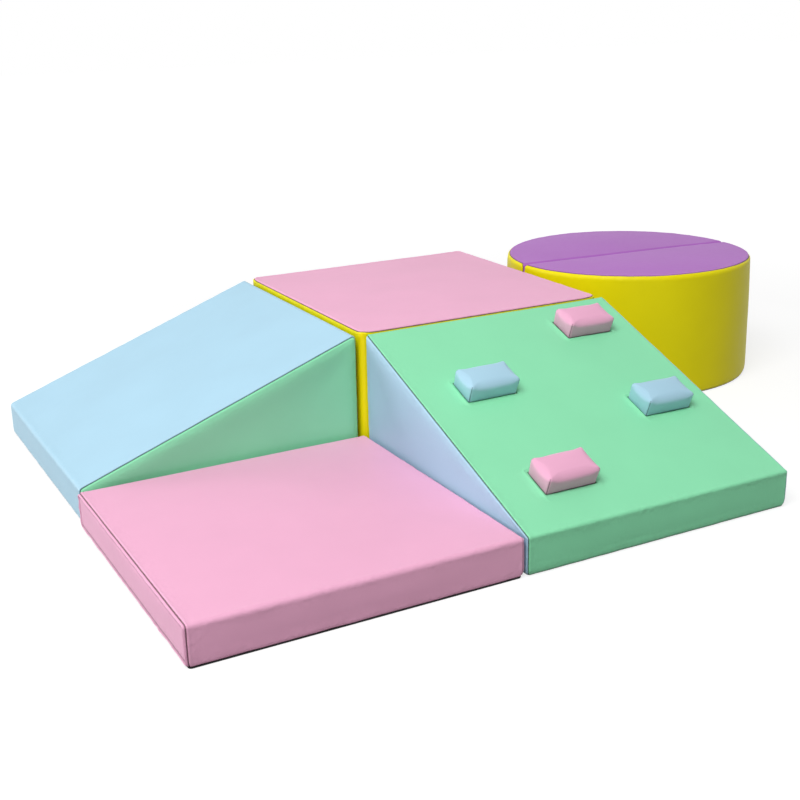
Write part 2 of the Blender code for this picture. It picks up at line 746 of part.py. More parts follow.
def make_slider_mesh(material, collection):
    """A channel that straddles the coil, with its pull lying back along the zip."""
    steepest = math.atan(2 * DRAW_IN / DRAW_HEIGHT)
    half_channel = ZIP_COIL_HEIGHT / 2 / math.cos(steepest) + CLEARANCE
    half_body = half_channel + SLIDER_WALL
    roof = ZIP_TAPE_RECESS + ZIP_COIL_PROUD + CLEARANCE
    top = roof + SLIDER_WALL
    half_section = [(half_channel, roof), (half_channel, SLIDER_FOOT_CLEARANCE)]
    half_section += [(half_body, SLIDER_FOOT_CLEARANCE), (half_body, top)]
    section = half_section + [(-y, z) for y, z in reversed(half_section)]
    half = SLIDER_LENGTH / 2
    rows = [[Vector((x, y, z)) for y, z in section] for x in (-half, half)]
    body = add_solid("slider body", rows, material, None, collection)
    low = (half - PULL_LENGTH, -PULL_WIDTH / 2, top - PULL_OVERLAP)
    high = (half - SLIDER_WALL, PULL_WIDTH / 2, top + PULL_THICKNESS)
    pull = add_box("slider pull", low, high, material, None, collection)
    join = body.modifiers.new("pull", "BOOLEAN")
    join.operation = "UNION"
    join.object = pull
    graph = bpy.context.evaluated_depsgraph_get()
    mesh = bpy.data.meshes.new_from_object(body.evaluated_get(graph))
    for helper in (body, pull):
        bpy.data.objects.remove(helper)
    return mesh


def add_slider(name, mesh, matrix, parent, collection):
    slider = bpy.data.objects.new(name, mesh)
    slider.parent = parent
    slider.matrix_local = matrix
    collection.objects.link(slider)
    return slider


def strip_thickness(gap, first_swell, second_swell):
    """Half of what a gap between two swollen sides leaves after three clearances."""
    return (gap - first_swell - second_swell - 3 * CLEARANCE) / 2


def add_strip(name, form, place, out, thickness, material, parent, collection):
    """A hook or loop strip that lies level on a side. place is on the plain side's face."""
    foot = form.soften(place) + out * CLEARANCE
    along = Vector((0, 0, 1)).cross(out)
    half = along * (STRIP_LENGTH / 2) + Vector((0, 0, STRIP_WIDTH / 2))
    corners = (foot - half, foot + half + out * thickness)
    low = [min(values) for values in zip(*corners)]
    high = [max(values) for values in zip(*corners)]
    return add_box(name, low, high, material, parent, collection)


class Hold:
    """A padded climbing hold on the climbing ramp, in the ramp's frame."""

    def __init__(self, form, from_left, from_crest):
        slope = math.atan2(form.high - form.low, 2 * form.half_y)
        self.form = form
        self.down = Vector((0, -math.cos(slope), -math.sin(slope)))
        self.out = Vector((0, -math.sin(slope), math.cos(slope)))
        self.foot = Vector((from_left - form.half_x, form.half_y, form.high)) + self.down * from_crest

    def place(self, across, along, out):
        """A point of the hold, softened with the slope that it is sewn to."""
        return self.form.soften(self.foot + Vector((across, 0, 0)) + self.down * along + self.out * out)

    def ring(self, inset, out):
        half_x, half_y = HOLD_LENGTH / 2, HOLD_DEPTH / 2
        outline = []
        for quarter in range(4):
            place = (half_x, half_y, HOLD_CORNER_RADIUS, 0, quarter)
            outline += corner_arc(*place, (0, 1), CORE.fold_steps)
            side = (quarter + 1) * QUARTER_TURN
            outline.append(Vector((half_x * round(math.cos(side)), half_y * round(math.sin(side)))))
        across, along = (half_x - inset) / half_x, (half_y - inset) / half_y
        return [self.place(point.x * across, point.y * along, out) for point in outline]

    def rings(self, depth, bottom):
        """Rings from the hold's foot, up its swollen sides and over its edge to its top."""
        shoulder = HOLD_HEIGHT - HOLD_EDGE_RADIUS
        rings = [self.ring(depth, bottom), self.ring(depth - HOLD_SWELL, shoulder / 2)]
        for angle in spread(0, QUARTER_TURN, CORE.fold_steps):
            radius = HOLD_EDGE_RADIUS - depth
            inset = HOLD_EDGE_RADIUS - radius * math.cos(angle)
            rings.append(self.ring(inset, shoulder + radius * math.sin(angle)))
        half_way = HOLD_DEPTH / 4
        rings.append(self.ring(half_way, HOLD_HEIGHT - depth + HOLD_CROWN / 2))
        return rings

    def add_cover(self, name, material, parent, collection):
        bm = bmesh.new()
        made = grid_faces(bm, self.rings(0, CLEARANCE), closed=True)
        fan_faces(bm, made[-1], self.place(0, 0, HOLD_HEIGHT + HOLD_CROWN))
        middle = self.place(0, 0, HOLD_HEIGHT / 2)
        return add_panel(name, bm, middle, material, parent, collection)

    def add_foam(self, name, material, parent, collection):
        top = self.place(0, 0, HOLD_HEIGHT + HOLD_CROWN - CORE.depth)
        rings = self.rings(CORE.depth, FOAM_CLEARANCE)
        return add_solid(name, rings, material, parent, collection, (None, top))


class Kit:
    """What every block is made with: the materials, the zip slider and the two collections."""

    def __init__(self):
        self.looks = make_materials()
        self.parts = bpy.data.collections.new("soft play foam climber")
        self.cutters = bpy.data.collections.new("cutters")
        for collection in (self.parts, self.cutters):
            bpy.context.scene.collection.children.link(collection)
        self.slider_mesh = make_slider_mesh(self.looks["slider"], self.cutters)
        self.root = self.add_frame("climber_frame", (0, 0, 0), 0, None)

    def add_frame(self, name, location, turn, parent):
        frame = bpy.data.objects.new(name, None)
        frame.location = location
        frame.rotation_euler = (0, 0, turn)
        frame.parent = parent
        self.parts.objects.link(frame)
        return frame

    def add_inside(self, name, block, zip_run, slider_end, zipped_panel, frame):
        """The foam core, base and zip that every block has, under the panel that the zip opens."""
        zip_run.open_panel(f"{name}_zip_opening", zipped_panel, frame, self.cutters)
        block.add_core(f"{name}_foam", self.looks["foam"], frame, self.parts)
        add_base(f"{name}_base", block, self.looks["base"], frame, self.parts)
        zip_run.add_tape(f"{name}_zip", self.looks["zip"], frame, self.parts)
        matrix = zip_run.slider_matrix(slider_end)
        add_slider(f"{name}_zip_slider", self.slider_mesh, matrix, frame, self.parts)

    def add_wrapped(self, name, block, side_names, wrap_colour, side_colour, zip_side, frame):
        """A ramp or mat: its wrap, its left and right panels, and its inside."""
        form = block.form
        block.add_wrap(f"{name}_wrap", self.looks[wrap_colour], frame, self.parts)
        sides = {}
        for side, side_name in zip((-1, 1), side_names):
            panel_name = f"{name}_{side_name}_side_panel"
            sides[side] = block.add_side(panel_name, side, self.looks[side_colour], frame, self.parts)
        zip_run = Zip(form, 1, zip_side * form.half_x, zip_side, 2 * form.half_y)
        self.add_inside(name, block, zip_run, 1, sides[zip_side], frame)


def add_platform_block(kit):
    form = BoxForm(BLOCK_WIDTH, BLOCK_DEPTH, BLOCK_HEIGHT, BLOCK_HEIGHT, BLOCK_CROWN)
    block = BoxedBlock(form)
    frame = kit.add_frame("platform_block_frame", BLOCK_MIDDLE, 0, kit.root)
    block.add_top("platform_block_top_panel", kit.looks["pink"], frame, kit.parts)
    yellow = kit.looks["yellow"]
    block.add_side("platform_block_boxing", block.front_run, yellow, frame, kit.parts)
    back = block.add_side("platform_block_back_panel", block.back_run, yellow, frame, kit.parts)
    zip_run = Zip(form, 0, form.half_y, 1, BLOCK_WIDTH)
    kit.add_inside("platform_block", block, zip_run, -1, back, frame)

    swell = swell_at(STRIP_HEIGHT_ON_BLOCK, BLOCK_HEIGHT, SIDE_SWELL)
    slide_swell = swell_at(STRIP_HEIGHT_ON_BLOCK, SLIDE_HIGH, SIDE_SWELL)
    climb_swell = swell_at(STRIP_HEIGHT_ON_BLOCK, CLIMB_HIGH, SIDE_SWELL)
    strips = (
        (
            "platform_block_left_loop_strip",
            (-form.half_x, SLIDE_MIDDLE.y - BLOCK_MIDDLE.y, STRIP_HEIGHT_ON_BLOCK),
            Vector((-1, 0, 0)),
            strip_thickness(JOIN_GAP, swell, slide_swell),
        ),
        (
            "platform_block_front_loop_strip",
            (CLIMB_MIDDLE.x - BLOCK_MIDDLE.x, -form.half_y, STRIP_HEIGHT_ON_BLOCK),
            Vector((0, -1, 0)),
            strip_thickness(JOIN_GAP, swell, climb_swell),
        ),
    )
    for name, place, out, thickness in strips:
        add_strip(name, form, place, out, thickness, kit.looks["loop"], frame, kit.parts)


def add_ramp_hook_strip(kit, name, form, frame):
    """The strip on a ramp's high end that holds it to the platform block."""
    swell = swell_at(STRIP_HEIGHT_ON_BLOCK, form.high, SIDE_SWELL)
    block_swell = swell_at(STRIP_HEIGHT_ON_BLOCK, BLOCK_HEIGHT, SIDE_SWELL)
    place = (0, form.half_y, STRIP_HEIGHT_ON_BLOCK)
    thickness = strip_thickness(JOIN_GAP, swell, block_swell)
    add_strip(name, form, place, Vector((0, 1, 0)), thickness, kit.looks["hook"], frame, kit.parts)


def add_slide_ramp(kit):
    """The slide ramp, turned so that its high end meets the platform block's left side."""
    form = BoxForm(SLIDE_WIDTH, RAMP_LENGTH, SLIDE_HIGH, RAMP_LIP, RAMP_CROWN)
    block = WrappedBlock(form, CREST_RADIUS, LIP_RADIUS)
    frame = kit.add_frame("slide_ramp_frame", SLIDE_MIDDLE, -QUARTER_TURN, kit.root)
    kit.add_wrapped("slide_ramp", block, ("far", "near"), "light blue", "mint green", -1, frame)
    add_ramp_hook_strip(kit, "slide_ramp_hook_strip", form, frame)


def add_climbing_ramp(kit):
    """The climbing ramp, with its high end against the platform block's front."""
    form = BoxForm(CLIMB_WIDTH, RAMP_LENGTH, CLIMB_HIGH, RAMP_LIP, RAMP_CROWN)
    block = WrappedBlock(form, CREST_RADIUS, LIP_RADIUS)
    frame = kit.add_frame("climbing_ramp_frame", CLIMB_MIDDLE, 0, kit.root)
    kit.add_wrapped("climbing_ramp", block, ("left", "right"), "mint green", "light blue", 1, frame)
    add_ramp_hook_strip(kit, "climbing_ramp_hook_strip", form, frame)
    mat_offset = MAT_MIDDLE - CLIMB_MIDDLE
    add_mat_strip(kit, "climbing_ramp_loop_strip", form, -1, mat_offset, "loop", frame)

    names = ("upper_right", "upper_left", "lower_right", "lower_left")
    colours = ("pink", "light blue", "light blue", "pink")
    for row, (name, colour) in enumerate(zip(names, colours)):
        from_left = HOLD_LEFT_COLUMN + (HOLD_COLUMN_SPACING if name.endswith("right") else 0)
        hold = Hold(form, from_left, HOLD_FIRST_ROW + HOLD_ROW_SPACING * row)
        hold.add_cover(f"hold_{name}_cover", kit.looks[colour], frame, kit.parts)
        hold.add_foam(f"hold_{name}_foam", kit.looks["foam"], frame, kit.parts)


def add_mat_strip(kit, name, form, side, mat_offset, look, frame):
    """One of the two strips between the mat and the climbing ramp, at the middle of the mat."""
    mat_swell = swell_at(STRIP_HEIGHT_ON_MAT, MAT_HEIGHT, SIDE_SWELL)
    climb_swell = swell_at(STRIP_HEIGHT_ON_MAT, (CLIMB_HIGH + RAMP_LIP) / 2, SIDE_SWELL)
    place = (side * form.half_x, mat_offset.y, STRIP_HEIGHT_ON_MAT)
    thickness = strip_thickness(JOIN_GAP, mat_swell, climb_swell)
    add_strip(name, form, place, Vector((side, 0, 0)), thickness, kit.looks[look], frame, kit.parts)


def add_corner_mat(kit):
    form = BoxForm(MAT_WIDTH, MAT_DEPTH, MAT_HEIGHT, MAT_HEIGHT, MAT_CROWN)
    block = WrappedBlock(form, MAT_EDGE_RADIUS, MAT_EDGE_RADIUS)
    frame = kit.add_frame("corner_mat_frame", MAT_MIDDLE, 0, kit.root)
    kit.add_wrapped("corner_mat", block, ("left", "right"), "pink", "pink", 1, frame)
    add_mat_strip(kit, "corner_mat_hook_strip", form, 1, Vector((0, 0, 0)), "hook", frame)


def add_half_round(kit, name, side, look):
    """One half of the round block. side is 1 for the half at the back and -1 for the front."""
    form = HalfRoundForm(ROUND_RADIUS, ROUND_HEIGHT, ROUND_CROWN)
    block = HalfRoundBlock(form)
    turn = ROUND_TURN if side > 0 else ROUND_TURN + math.pi
    apart = Vector((-math.sin(turn), math.cos(turn), 0)) * (HALF_GAP / 2)
    frame = kit.add_frame(f"{name}_frame", ROUND_MIDDLE + apart, turn, kit.root)
    wrap = block.add_wrap(f"{name}_wrap", kit.looks["purple"], frame, kit.parts)
    block.add_boxing(f"{name}_boxing", kit.looks["yellow"], frame, kit.parts)
    zip_run = Zip(form, 0, 0, -1, 2 * block.edge_x)
    kit.add_inside(name, block, zip_run, 1, wrap, frame)
    swell = swell_at(STRIP_HEIGHT_ON_BLOCK, ROUND_HEIGHT, FLAT_SWELL)
    place = (0, 0, STRIP_HEIGHT_ON_BLOCK)
    thickness = strip_thickness(HALF_GAP, swell, swell)
    strip_name = f"{name}_{look}_strip"
    add_strip(strip_name, form, place, Vector((0, -1, 0)), thickness, kit.looks[look], frame, kit.parts)


def centre_on_floor(kit):
    """Moves the whole climber so that its box is centred on the origin."""
    bpy.context.view_layer.update()
    graph = bpy.context.evaluated_depsgraph_get()
    places = []
    for thing in kit.parts.objects:
        if thing.type == "MESH":
            made = thing.evaluated_get(graph)
            places += [made.matrix_world @ vertex.co for vertex in made.data.vertices]
    for axis in (0, 1):
        values = [place[axis] for place in places]
        kit.root.location[axis] = -(min(values) + max(values)) / 2
    bpy.context.view_layer.update()


def main():
    for thing in list(bpy.data.objects):
        bpy.data.objects.remove(thing)
    kit = Kit()
    add_platform_block(kit)
    add_slide_ramp(kit)
    add_climbing_ramp(kit)
    add_corner_mat(kit)
    add_half_round(kit, "back_half_round", 1, "loop")
    add_half_round(kit, "front_half_round", -1, "hook")
    centre_on_floor(kit)


if __name__ == "__main__":
    main()
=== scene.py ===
"""A soft play foam climber: its sewn covers, foam cores and fittings, laid out as an add-on.

A cover panel is a thin shell on its block's rounded form. Its edges dip into the seams and fold in
behind them, the cloth gathers a little along each seam, and broad, low waves run over the foam.
"""

import math
from collections import namedtuple

import bmesh
import bpy
from mathutils import Matrix, Vector, noise
from mathutils.kdtree import KDTree


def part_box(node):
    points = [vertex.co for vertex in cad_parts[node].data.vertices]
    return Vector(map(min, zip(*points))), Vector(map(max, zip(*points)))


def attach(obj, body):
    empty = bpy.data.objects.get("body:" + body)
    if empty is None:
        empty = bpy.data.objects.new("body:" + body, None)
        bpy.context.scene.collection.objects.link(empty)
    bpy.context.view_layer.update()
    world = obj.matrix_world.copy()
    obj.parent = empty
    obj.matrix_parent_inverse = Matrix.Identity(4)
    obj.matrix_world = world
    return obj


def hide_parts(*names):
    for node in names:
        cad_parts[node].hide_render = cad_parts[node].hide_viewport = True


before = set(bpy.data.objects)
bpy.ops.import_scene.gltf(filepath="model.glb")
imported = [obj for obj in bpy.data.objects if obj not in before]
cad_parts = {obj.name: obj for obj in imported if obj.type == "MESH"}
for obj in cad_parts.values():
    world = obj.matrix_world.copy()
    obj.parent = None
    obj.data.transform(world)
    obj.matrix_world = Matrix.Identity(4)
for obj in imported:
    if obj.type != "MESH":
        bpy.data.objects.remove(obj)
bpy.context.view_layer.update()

bl_info = {
    "name": "Soft play foam climber",
    "version": (1, 0, 0),
    "blender": (4, 5, 0),
    "location": "3D View > Sidebar > Climber",
    "description": "Makes the sewn covers, foam cores and fittings of a soft play climber",
    "category": "Object",
}

QUARTER_TURN = math.pi / 2
SEAM_ANGLE = math.pi / 4

# The foot of a block, where its cover is drawn in to the base, less than the plain solids are
DRAW_IN = 0.003
SOLID_DRAW_IN = 0.008
DRAW_HEIGHT = 0.020
FOOT_SHARES = (0.3, 0.52, 0.76, 1.0)
BASE_THICKNESS = 0.003
COVER_BOTTOM = 0.0033
SIDE_SWELL = 0.0015
FLAT_SWELL = 0.0003

# Cloth and sewing
CLOTH_THICKNESS = 0.001
SEAM_RADIUS = 0.006
SEAM_GAP = 0.0007
ALLOWANCE = 0.0016
MERGE_DISTANCE = 0.00002
SEAM_SAMPLE = 0.0005
MIN_FOLD_RADIUS = 0.001
LINE_CLEARANCE = 0.006
SHARP_ANGLE = math.radians(50)
QUARTERS = (0, 0.25, 0.5, 0.75, 1)

# What runs along a seam: how far from it, and how wide
BEAD = (0.0034, 0.0014)
FINE_GATHERS = (0.006, 0.006)
WELT = (0.0031, 0.0019)
WELT_DIP = (0.0070, 0.0014)
WELT_STITCHES = (0.0070, 0.0009)
# How wide the painted shade in a seam is
SEAM_SHADE_WIDTH = 0.0008

# How much finer the small gathers and waves are than the broad ones, and where in the noise they
# are taken from
FINE_GATHER_SHARE = 0.45
FINE_GATHER_SHIFT = Vector((1, 8, 4))
FINE_WAVE_SHARE = 0.37
FINE_WAVE_SHIFT = Vector((7, 3, 5))

# How near a seam the broad waves lie still, and over what height a shoulder fills out past a
# neighbour
STILL_REACH = 0.02
SHOULDER_RISE = 0.05

# Along a ramp's low fold: the length of its broad and fine waves, and how far waves, ridge and
# gathers reach from it
LIP_WAVE_LENGTH = 0.060
LIP_FINE_LENGTH = 0.026
LIP_WAVE_REACH = 0.020
LIP_RIDGE_REACH = 0.007
LIP_GATHER_REACH = 0.014

# The zips
ZIP_TAPE_HEIGHT = 0.012
ZIP_TAPE_THICKNESS = 0.0008
ZIP_TAPE_RECESS = 0.0002
ZIP_TAPE_STEPS = 24
ZIP_SLIT = 0.0002
ZIP_COIL_HEIGHT = 0.0045
ZIP_COIL_PROUD = 0.0012
ZIP_COIL_PITCH = 0.002
ZIP_COIL_STAGGER = 0.0004
ZIP_COIL_MARGIN = 0.004
ZIP_TURN_LENGTH = 0.0014
ZIP_STOP_LENGTH = 0.0024
ZIP_STOP_MARGIN = 0.002
ZIP_END_MARGIN = 0.035
ZIP_CLEARANCE = 0.0003
PULL_LENGTH = 0.018
CUT_REACH = 0.012
CUT_STEPS = 8

# The hook and loop strips and their stitches
STRIP_CORNER = 0.003
STRIP_EASE = 0.0004
STITCH_MARGIN = 0.0025
STITCH_LENGTH = 0.0030
STITCH_GAP = 0.0012
THREAD_RADIUS = 0.00025

# The soles: how far their edge is eased, and how far they lie inside a cover that goes below them
SOLE_EASE = 0.0005
SOLE_INSIDE = 0.0035

# The cloth simulation of a hold's cover
SWELL_FRAMES = 20

# A layer's depth in the block, the height of its foot, the radius of its edges, half the gap in its
# seams, how far apart its rows are, where the rows near a seam lie, and at what shares of the way
# round an edge and a corner it has rows
Layer = namedtuple("Layer", "depth bottom edge_radius gap spacing near edge_shares corner_shares")
COVER = Layer(
    depth=0,
    bottom=0.0010,
    edge_radius=SEAM_RADIUS,
    gap=SEAM_GAP / 2,
    spacing=0.013,
    near=(0.003, 0.007, 0.012),
    edge_shares=(0, 0.1, 0.24, 0.44, 0.7, 1),
    corner_shares=(0, 0.05, 0.12, 0.22, 0.36, 0.56, 0.78, 1),
)
WELTED_COVER = COVER._replace(
    bottom=COVER_BOTTOM, near=(0.0018, 0.0036, 0.005, 0.0064, 0.0085, 0.013)
)

# How much higher the rim of each half of the round block lies than its flat side
HALF_ROUND_RIM_LIFTS = {"back": -0.0025, "front": 0.0055}

# How far up the rounded edge of each half of the round block the rim's seam lies: at the right
# end, in the middle and at the left end of the half, seen from its flat side
HALF_ROUND_RISES = {
    "back": (math.radians(25), math.radians(42), math.radians(66)),
    "front": (math.radians(66), math.radians(82), math.radians(22)),
}
CORE = Layer(
    depth=0.0018,
    bottom=0.0045,
    edge_radius=0.010,
    gap=0,
    spacing=0.060,
    near=(),
    edge_shares=(0, 0.5, 1),
    corner_shares=(0, 0.5, 1),
)

# How much rounder than its cover the foam of the round block is at its edges
ROUND_CORE_EASE = 0.003

# A ramp or mat: the names of its left and right side panels, its colours, how far the foam fills
# out each side with the height of the neighbour against it, and the height of its welt
Wrapping = namedtuple("Wrapping", "sides wrap_colour side_colour shoulders welt")
WRAPPINGS = {
    "slide_ramp": Wrapping(
        ("far", "near"), "light_blue", "mint_green", ((0.0048, 0), (0.0048, 0)), 0.0
    ),
    "climbing_ramp": Wrapping(
        ("left", "right"), "mint_green", "light_blue", ((0.0032, 0.083), (0.0048, 0)), 0.0
    ),
    "corner_mat": Wrapping(("left", "right"), "pink", "pink", ((0.0010, 0), (0.0006, 0)), 0.0018),
}

# Each strip: its block, its place and kind, and the way that it faces in its block's frame
STRIPS = (
    ("platform_block", "left_loop", (-1, 0, 0)),
    ("platform_block", "front_loop", (0, -1, 0)),
    ("slide_ramp", "hook", (0, 1, 0)),
    ("climbing_ramp", "hook", (0, 1, 0)),
    ("climbing_ramp", "loop", (-1, 0, 0)),
    ("corner_mat", "hook", (1, 0, 0)),
    ("back_half_round", "loop", (0, -1, 0)),
    ("front_half_round", "hook", (0, -1, 0)),
)

# Each softbox: its size, and where it hangs
SOFTBOXES = {
    "overhead": (2.6, (-0.3, -0.2, 3.3)),
    "side": (2.0, (-4.6, 3.5, 1.0)),
    "key": (2.6, (-2.6, -1.9, 4.15)),
}

# The floor: its reach and cells, and how far it lies under the bases
FLOOR_SIZE = 14
FLOOR_CELLS = 24
FLOOR_DROP = 0.0002

# The colour sockets of a mix node
MIX_FACTOR, MIX_A, MIX_B, MIX_RESULT = 0, 6, 7, 2


def linear(hex_colour):
    """The linear colour of an sRGB hex value."""
    parts = [int(hex_colour[at : at + 2], 16) / 255 for at in (0, 2, 4)]
    return [part / 12.92 if part <= 0.04045 else ((part + 0.055) / 1.055) ** 2.4 for part in parts]


def number(name, description, default, **limits):
    """A setting that is a plain number. Those below are a length, an angle and a colour."""
    return bpy.props.FloatProperty(name=name, description=description, default=default, **limits)


def metres(name, description, default):
    return number(name, description, default, min=0, unit="LENGTH", precision=4)


def degrees(name, description, default):
    return number(name, description, math.radians(default), subtype="ANGLE")


def srgb(name, description, hex_colour):
    return bpy.props.FloatVectorProperty(
        name=name,
        description=description,
        subtype="COLOR",
        size=3,
        min=0,
        max=1,
        default=linear(hex_colour),
    )


class CoverSettings(bpy.types.PropertyGroup):
    light_blue: srgb("Light blue", "Vinyl of the slide, two holds and a ramp's sides", "AFD6EA")
    mint_green: srgb("Mint green", "Vinyl of the climbing ramp and the slide's sides", "90E7B5")
    pink: srgb("Pink", "Vinyl of the mat, the platform's top and two holds", "F3B3D2")
    yellow: srgb("Yellow", "Vinyl of the platform's and the round block's sides", "FAEC00")
    purple: srgb("Purple", "Vinyl of the round block's tops", "B46DC6")
    groove_depth: metres("Seam depth", "How far the cloth dips into a seam", 0.0012)
    groove_width: metres("Seam width", "How far from its seam the cloth starts to dip", 0.0008)
    bead_height: metres("Seam bead", "How proud the folded allowance lifts the cloth", 0.0004)
    pucker_height: metres("Gather height", "How high the cloth gathers along a seam", 0.0007)
    pucker_length: metres("Gather length", "How far apart the gathers are", 0.030)
    pucker_reach: metres("Gather reach", "How far from a seam the gathers die away", 0.014)
    lip_wave: metres("Lip wave", "How high the cloth waves along a ramp's low fold", 0.0012)
    lip_ridge: metres("Lip ridge", "How far the cloth stands proud on a ramp's low fold", 0.0010)
    shoulder_reach: metres("Shoulder reach", "How far from a seam the foam fills a side out", 0.017)
    wave_height: metres("Wave height", "How high the broad waves of the cloth are", 0.0008)
    wave_length: metres("Wave length", "How broad the waves of the cloth are", 0.130)


class BlockSettings(bpy.types.PropertyGroup):
    platform_height: metres("Platform height", "Height of the platform block", 0.305)
    slide_height: metres("Slide height", "Height of the slide ramp's high end", 0.299)
    climb_height: metres("Climb height", "Height of the climbing ramp's high end", 0.303)
    ramp_lip: metres("Ramp lip", "Height of the ramps' low ends", 0.076)
    mat_height: metres("Mat height", "Height of the corner mat", 0.078)
    round_height: metres("Round height", "Height of the round block", 0.304)
    round_radius: metres("Round radius", "Radius of the round block", 0.321)
    round_turn: degrees("Round turn", "How far the round block is turned on the floor", -4.8)
    half_gap: metres("Half gap", "Gap between the halves of the round block", 0.004)
    post_radius: metres("Post radius", "Radius of the platform block's upright corners", 0.014)
    slide_crest: metres("Slide crest", "Radius of the fold at the slide's high end", 0.008)
    slide_lip: metres("Slide lip", "Radius of the fold at the slide's low end", 0.012)
    climb_crest: metres("Climb crest", "Radius of the fold at the climbing ramp's high end", 0.004)
    climb_lip: metres("Climb lip", "Radius of the fold at the climbing ramp's low end", 0.006)
    mat_fold: metres("Mat fold", "Radius of the folds of the mat's cover", 0.009)
    round_lean: metres("Round lean", "How far the round block's side leans in by its top", 0.003)
    round_edge: metres("Round edge", "Radius of the round block's edges", 0.010)
    platform_crown: metres("Platform crown", "How much the platform's top domes", 0.004)
    ramp_crown: metres("Ramp crown", "How much the slopes dome", 0.003)
    mat_crown: metres("Mat crown", "How much the mat's top domes", 0.003)
    round_crown: metres("Round crown", "How much the round block's top domes", 0.007)


class HoldSettings(bpy.types.PropertyGroup):
    length: metres("Length", "Length of a hold across the ramp", 0.113)
    depth: metres("Depth", "Depth of a hold down the slope", 0.065)
    height: metres("Height", "Height of a hold off the slope", 0.036)
    corner_radius: metres("Corner radius", "Radius of a hold's upright corners", 0.0035)
    edge_radius: metres("Edge radius", "Radius of a hold's upper edges", 0.0115)
    corner_edge: metres("Corner edge", "The same beside a sewn corner", 0.0062)
    corner_reach: metres("Corner reach", "How far a sewn corner holds the edge up", 0.013)
    corner_flare: metres("Corner flare", "How far a sewn corner stands out at its top", 0.0008)
    side_bulge: metres("Side bulge", "How far the padding pushes a side out", 0.0034)
    crown: metres("Crown", "How much a hold's top domes", 0.0030)
    left_column: metres("Left column", "Middle of the left holds from the ramp's left", 0.152)
    column_spacing: metres("Column spacing", "Left holds to right holds", 0.338)
    first_row: metres("First row", "Middle of the top hold from the ramp's crest", 0.098)
    row_spacing: metres("Row spacing", "From one hold's row to the next", 0.1435)
    most_swell: metres("Most swell", "How far the padding may push the cloth out", 0.003)


class StageSettings(bpy.types.PropertyGroup):
    camera_place: bpy.props.FloatVectorProperty(
        name="Camera",
        description="Where the camera stands",
        subtype="TRANSLATION",
        size=3,
        default=(-1.4612, -2.2846, 0.9952),
    )
    camera_azimuth: degrees("Azimuth", "Camera's turn", -28.2415)
    camera_elevation: degrees("Elevation", "Camera's tilt", 18.4528)
    camera_roll: degrees("Roll", "Camera's roll", -1.0514)
    focal_length: number("Focal length", "Focal length in mm, on a 36 mm sensor", 55.99, min=1)
    floor: srgb("Floor", "Colour of the studio floor", "9A9A9A")
    ambient: number("Ambient", "Strength of the even light all round", 0.28, min=0)
    overhead: number("Overhead", "Watts of the softbox over the blocks", 12, min=0)
    side: number("Side", "Watts of the low softbox at the back left", 105, min=0)
    key: number("Key", "Watts of the high softbox at the left", 174, min=0)


def spread(start, end, steps):
    """Evenly spaced values, both ends included."""
    return [start + (end - start) * step / steps for step in range(steps + 1)]


def between(start, end, shares):
    """What lies at these shares of the way between two values or points."""
    return [start + (end - start) * share for share in shares]


def backwards(shares):
    return [1 - share for share in reversed(shares)]


def graded(span, layer):
    """Shares of a span, close together near both ends, where the cloth is sewn."""
    near = [step / span for step in layer.near]
    reach = near[-1] if near else 0
    steps = max(2, round((1 - 2 * reach) * span / layer.spacing))
    inner = spread(reach, 1 - reach, steps)
    if not near:
        return inner
    return [0, *near[:-1], *inner, *backwards(near[:-1]), 1]


def with_lines(shares, lines, least):
    """Adds lines to evenly spaced shares, in place of those that they would crowd."""
    kept = [share for share in shares if all(abs(share - line) > least for line in lines)]
    return sorted(kept + list(lines))


def swell_at(height, top, swell):
    """How far a side bulges at this height: nothing by the floor and under the top edge."""
    level = (height - DRAW_HEIGHT) / (top - DRAW_HEIGHT)
    return max(0, swell * 4 * level * (1 - level))


def draw_at(height):
    """How far the base pulls a side in at this height."""
    return DRAW_IN * max(0, 1 - height / DRAW_HEIGHT) ** 2


def lift(outline, height):
    return [Vector((*point, height)) for point in outline]


def mirrored(points):
    """The same points on the other side of the block, in the opposite order."""
    return [Vector((-point.x, point.y, point.z)) for point in reversed(points)]


def fillet(before, corner, after, radius, steps):
    """An arc that rounds the corner between two straight lines."""
    towards_before = (before - corner).normalized()
    towards_after = (after - corner).normalized()
    half_angle = towards_before.angle(towards_after) / 2
    middle = (towards_before + towards_after).normalized()
    centre = corner + middle * (radius / math.sin(half_angle))
    start = corner + towards_before * (radius / math.tan(half_angle)) - centre
    turn = math.pi - 2 * half_angle
    if start.x * middle.y - start.y * middle.x > 0:
        turn = -turn
    first = math.atan2(start.y, start.x)
    angles = spread(first, first + turn, steps)
    return [centre + radius * Vector((math.cos(angle), math.sin(angle))) for angle in angles]


def shares_along(line):
    """How far along a line each of its points is, from 0 to 1."""
    lengths = [0]
    for first, second in zip(line, line[1:]):
        lengths.append(lengths[-1] + (second - first).length)
    return [length / lengths[-1] for length in lengths]


def patch(bottom, top, left, right):
    """Rows of points between four lines that meet at their ends, from the bottom to the top."""
    across = shares_along(top)
    left_up, right_up = shares_along(left), shares_along(right)
    rows = []
    for at in range(len(left)):
        row = []
        for column, u in enumerate(across):
            v = left_up[at] * (1 - u) + right_up[at] * u
            upright = bottom[column] * (1 - v) + top[column] * v
            level = left[at] * (1 - u) + right[at] * u
            low = bottom[0] * (1 - u) + bottom[-1] * u
            high = top[0] * (1 - u) + top[-1] * u
            row.append(upright + level - low * (1 - v) - high * v)
        rows.append(row)
    return rows


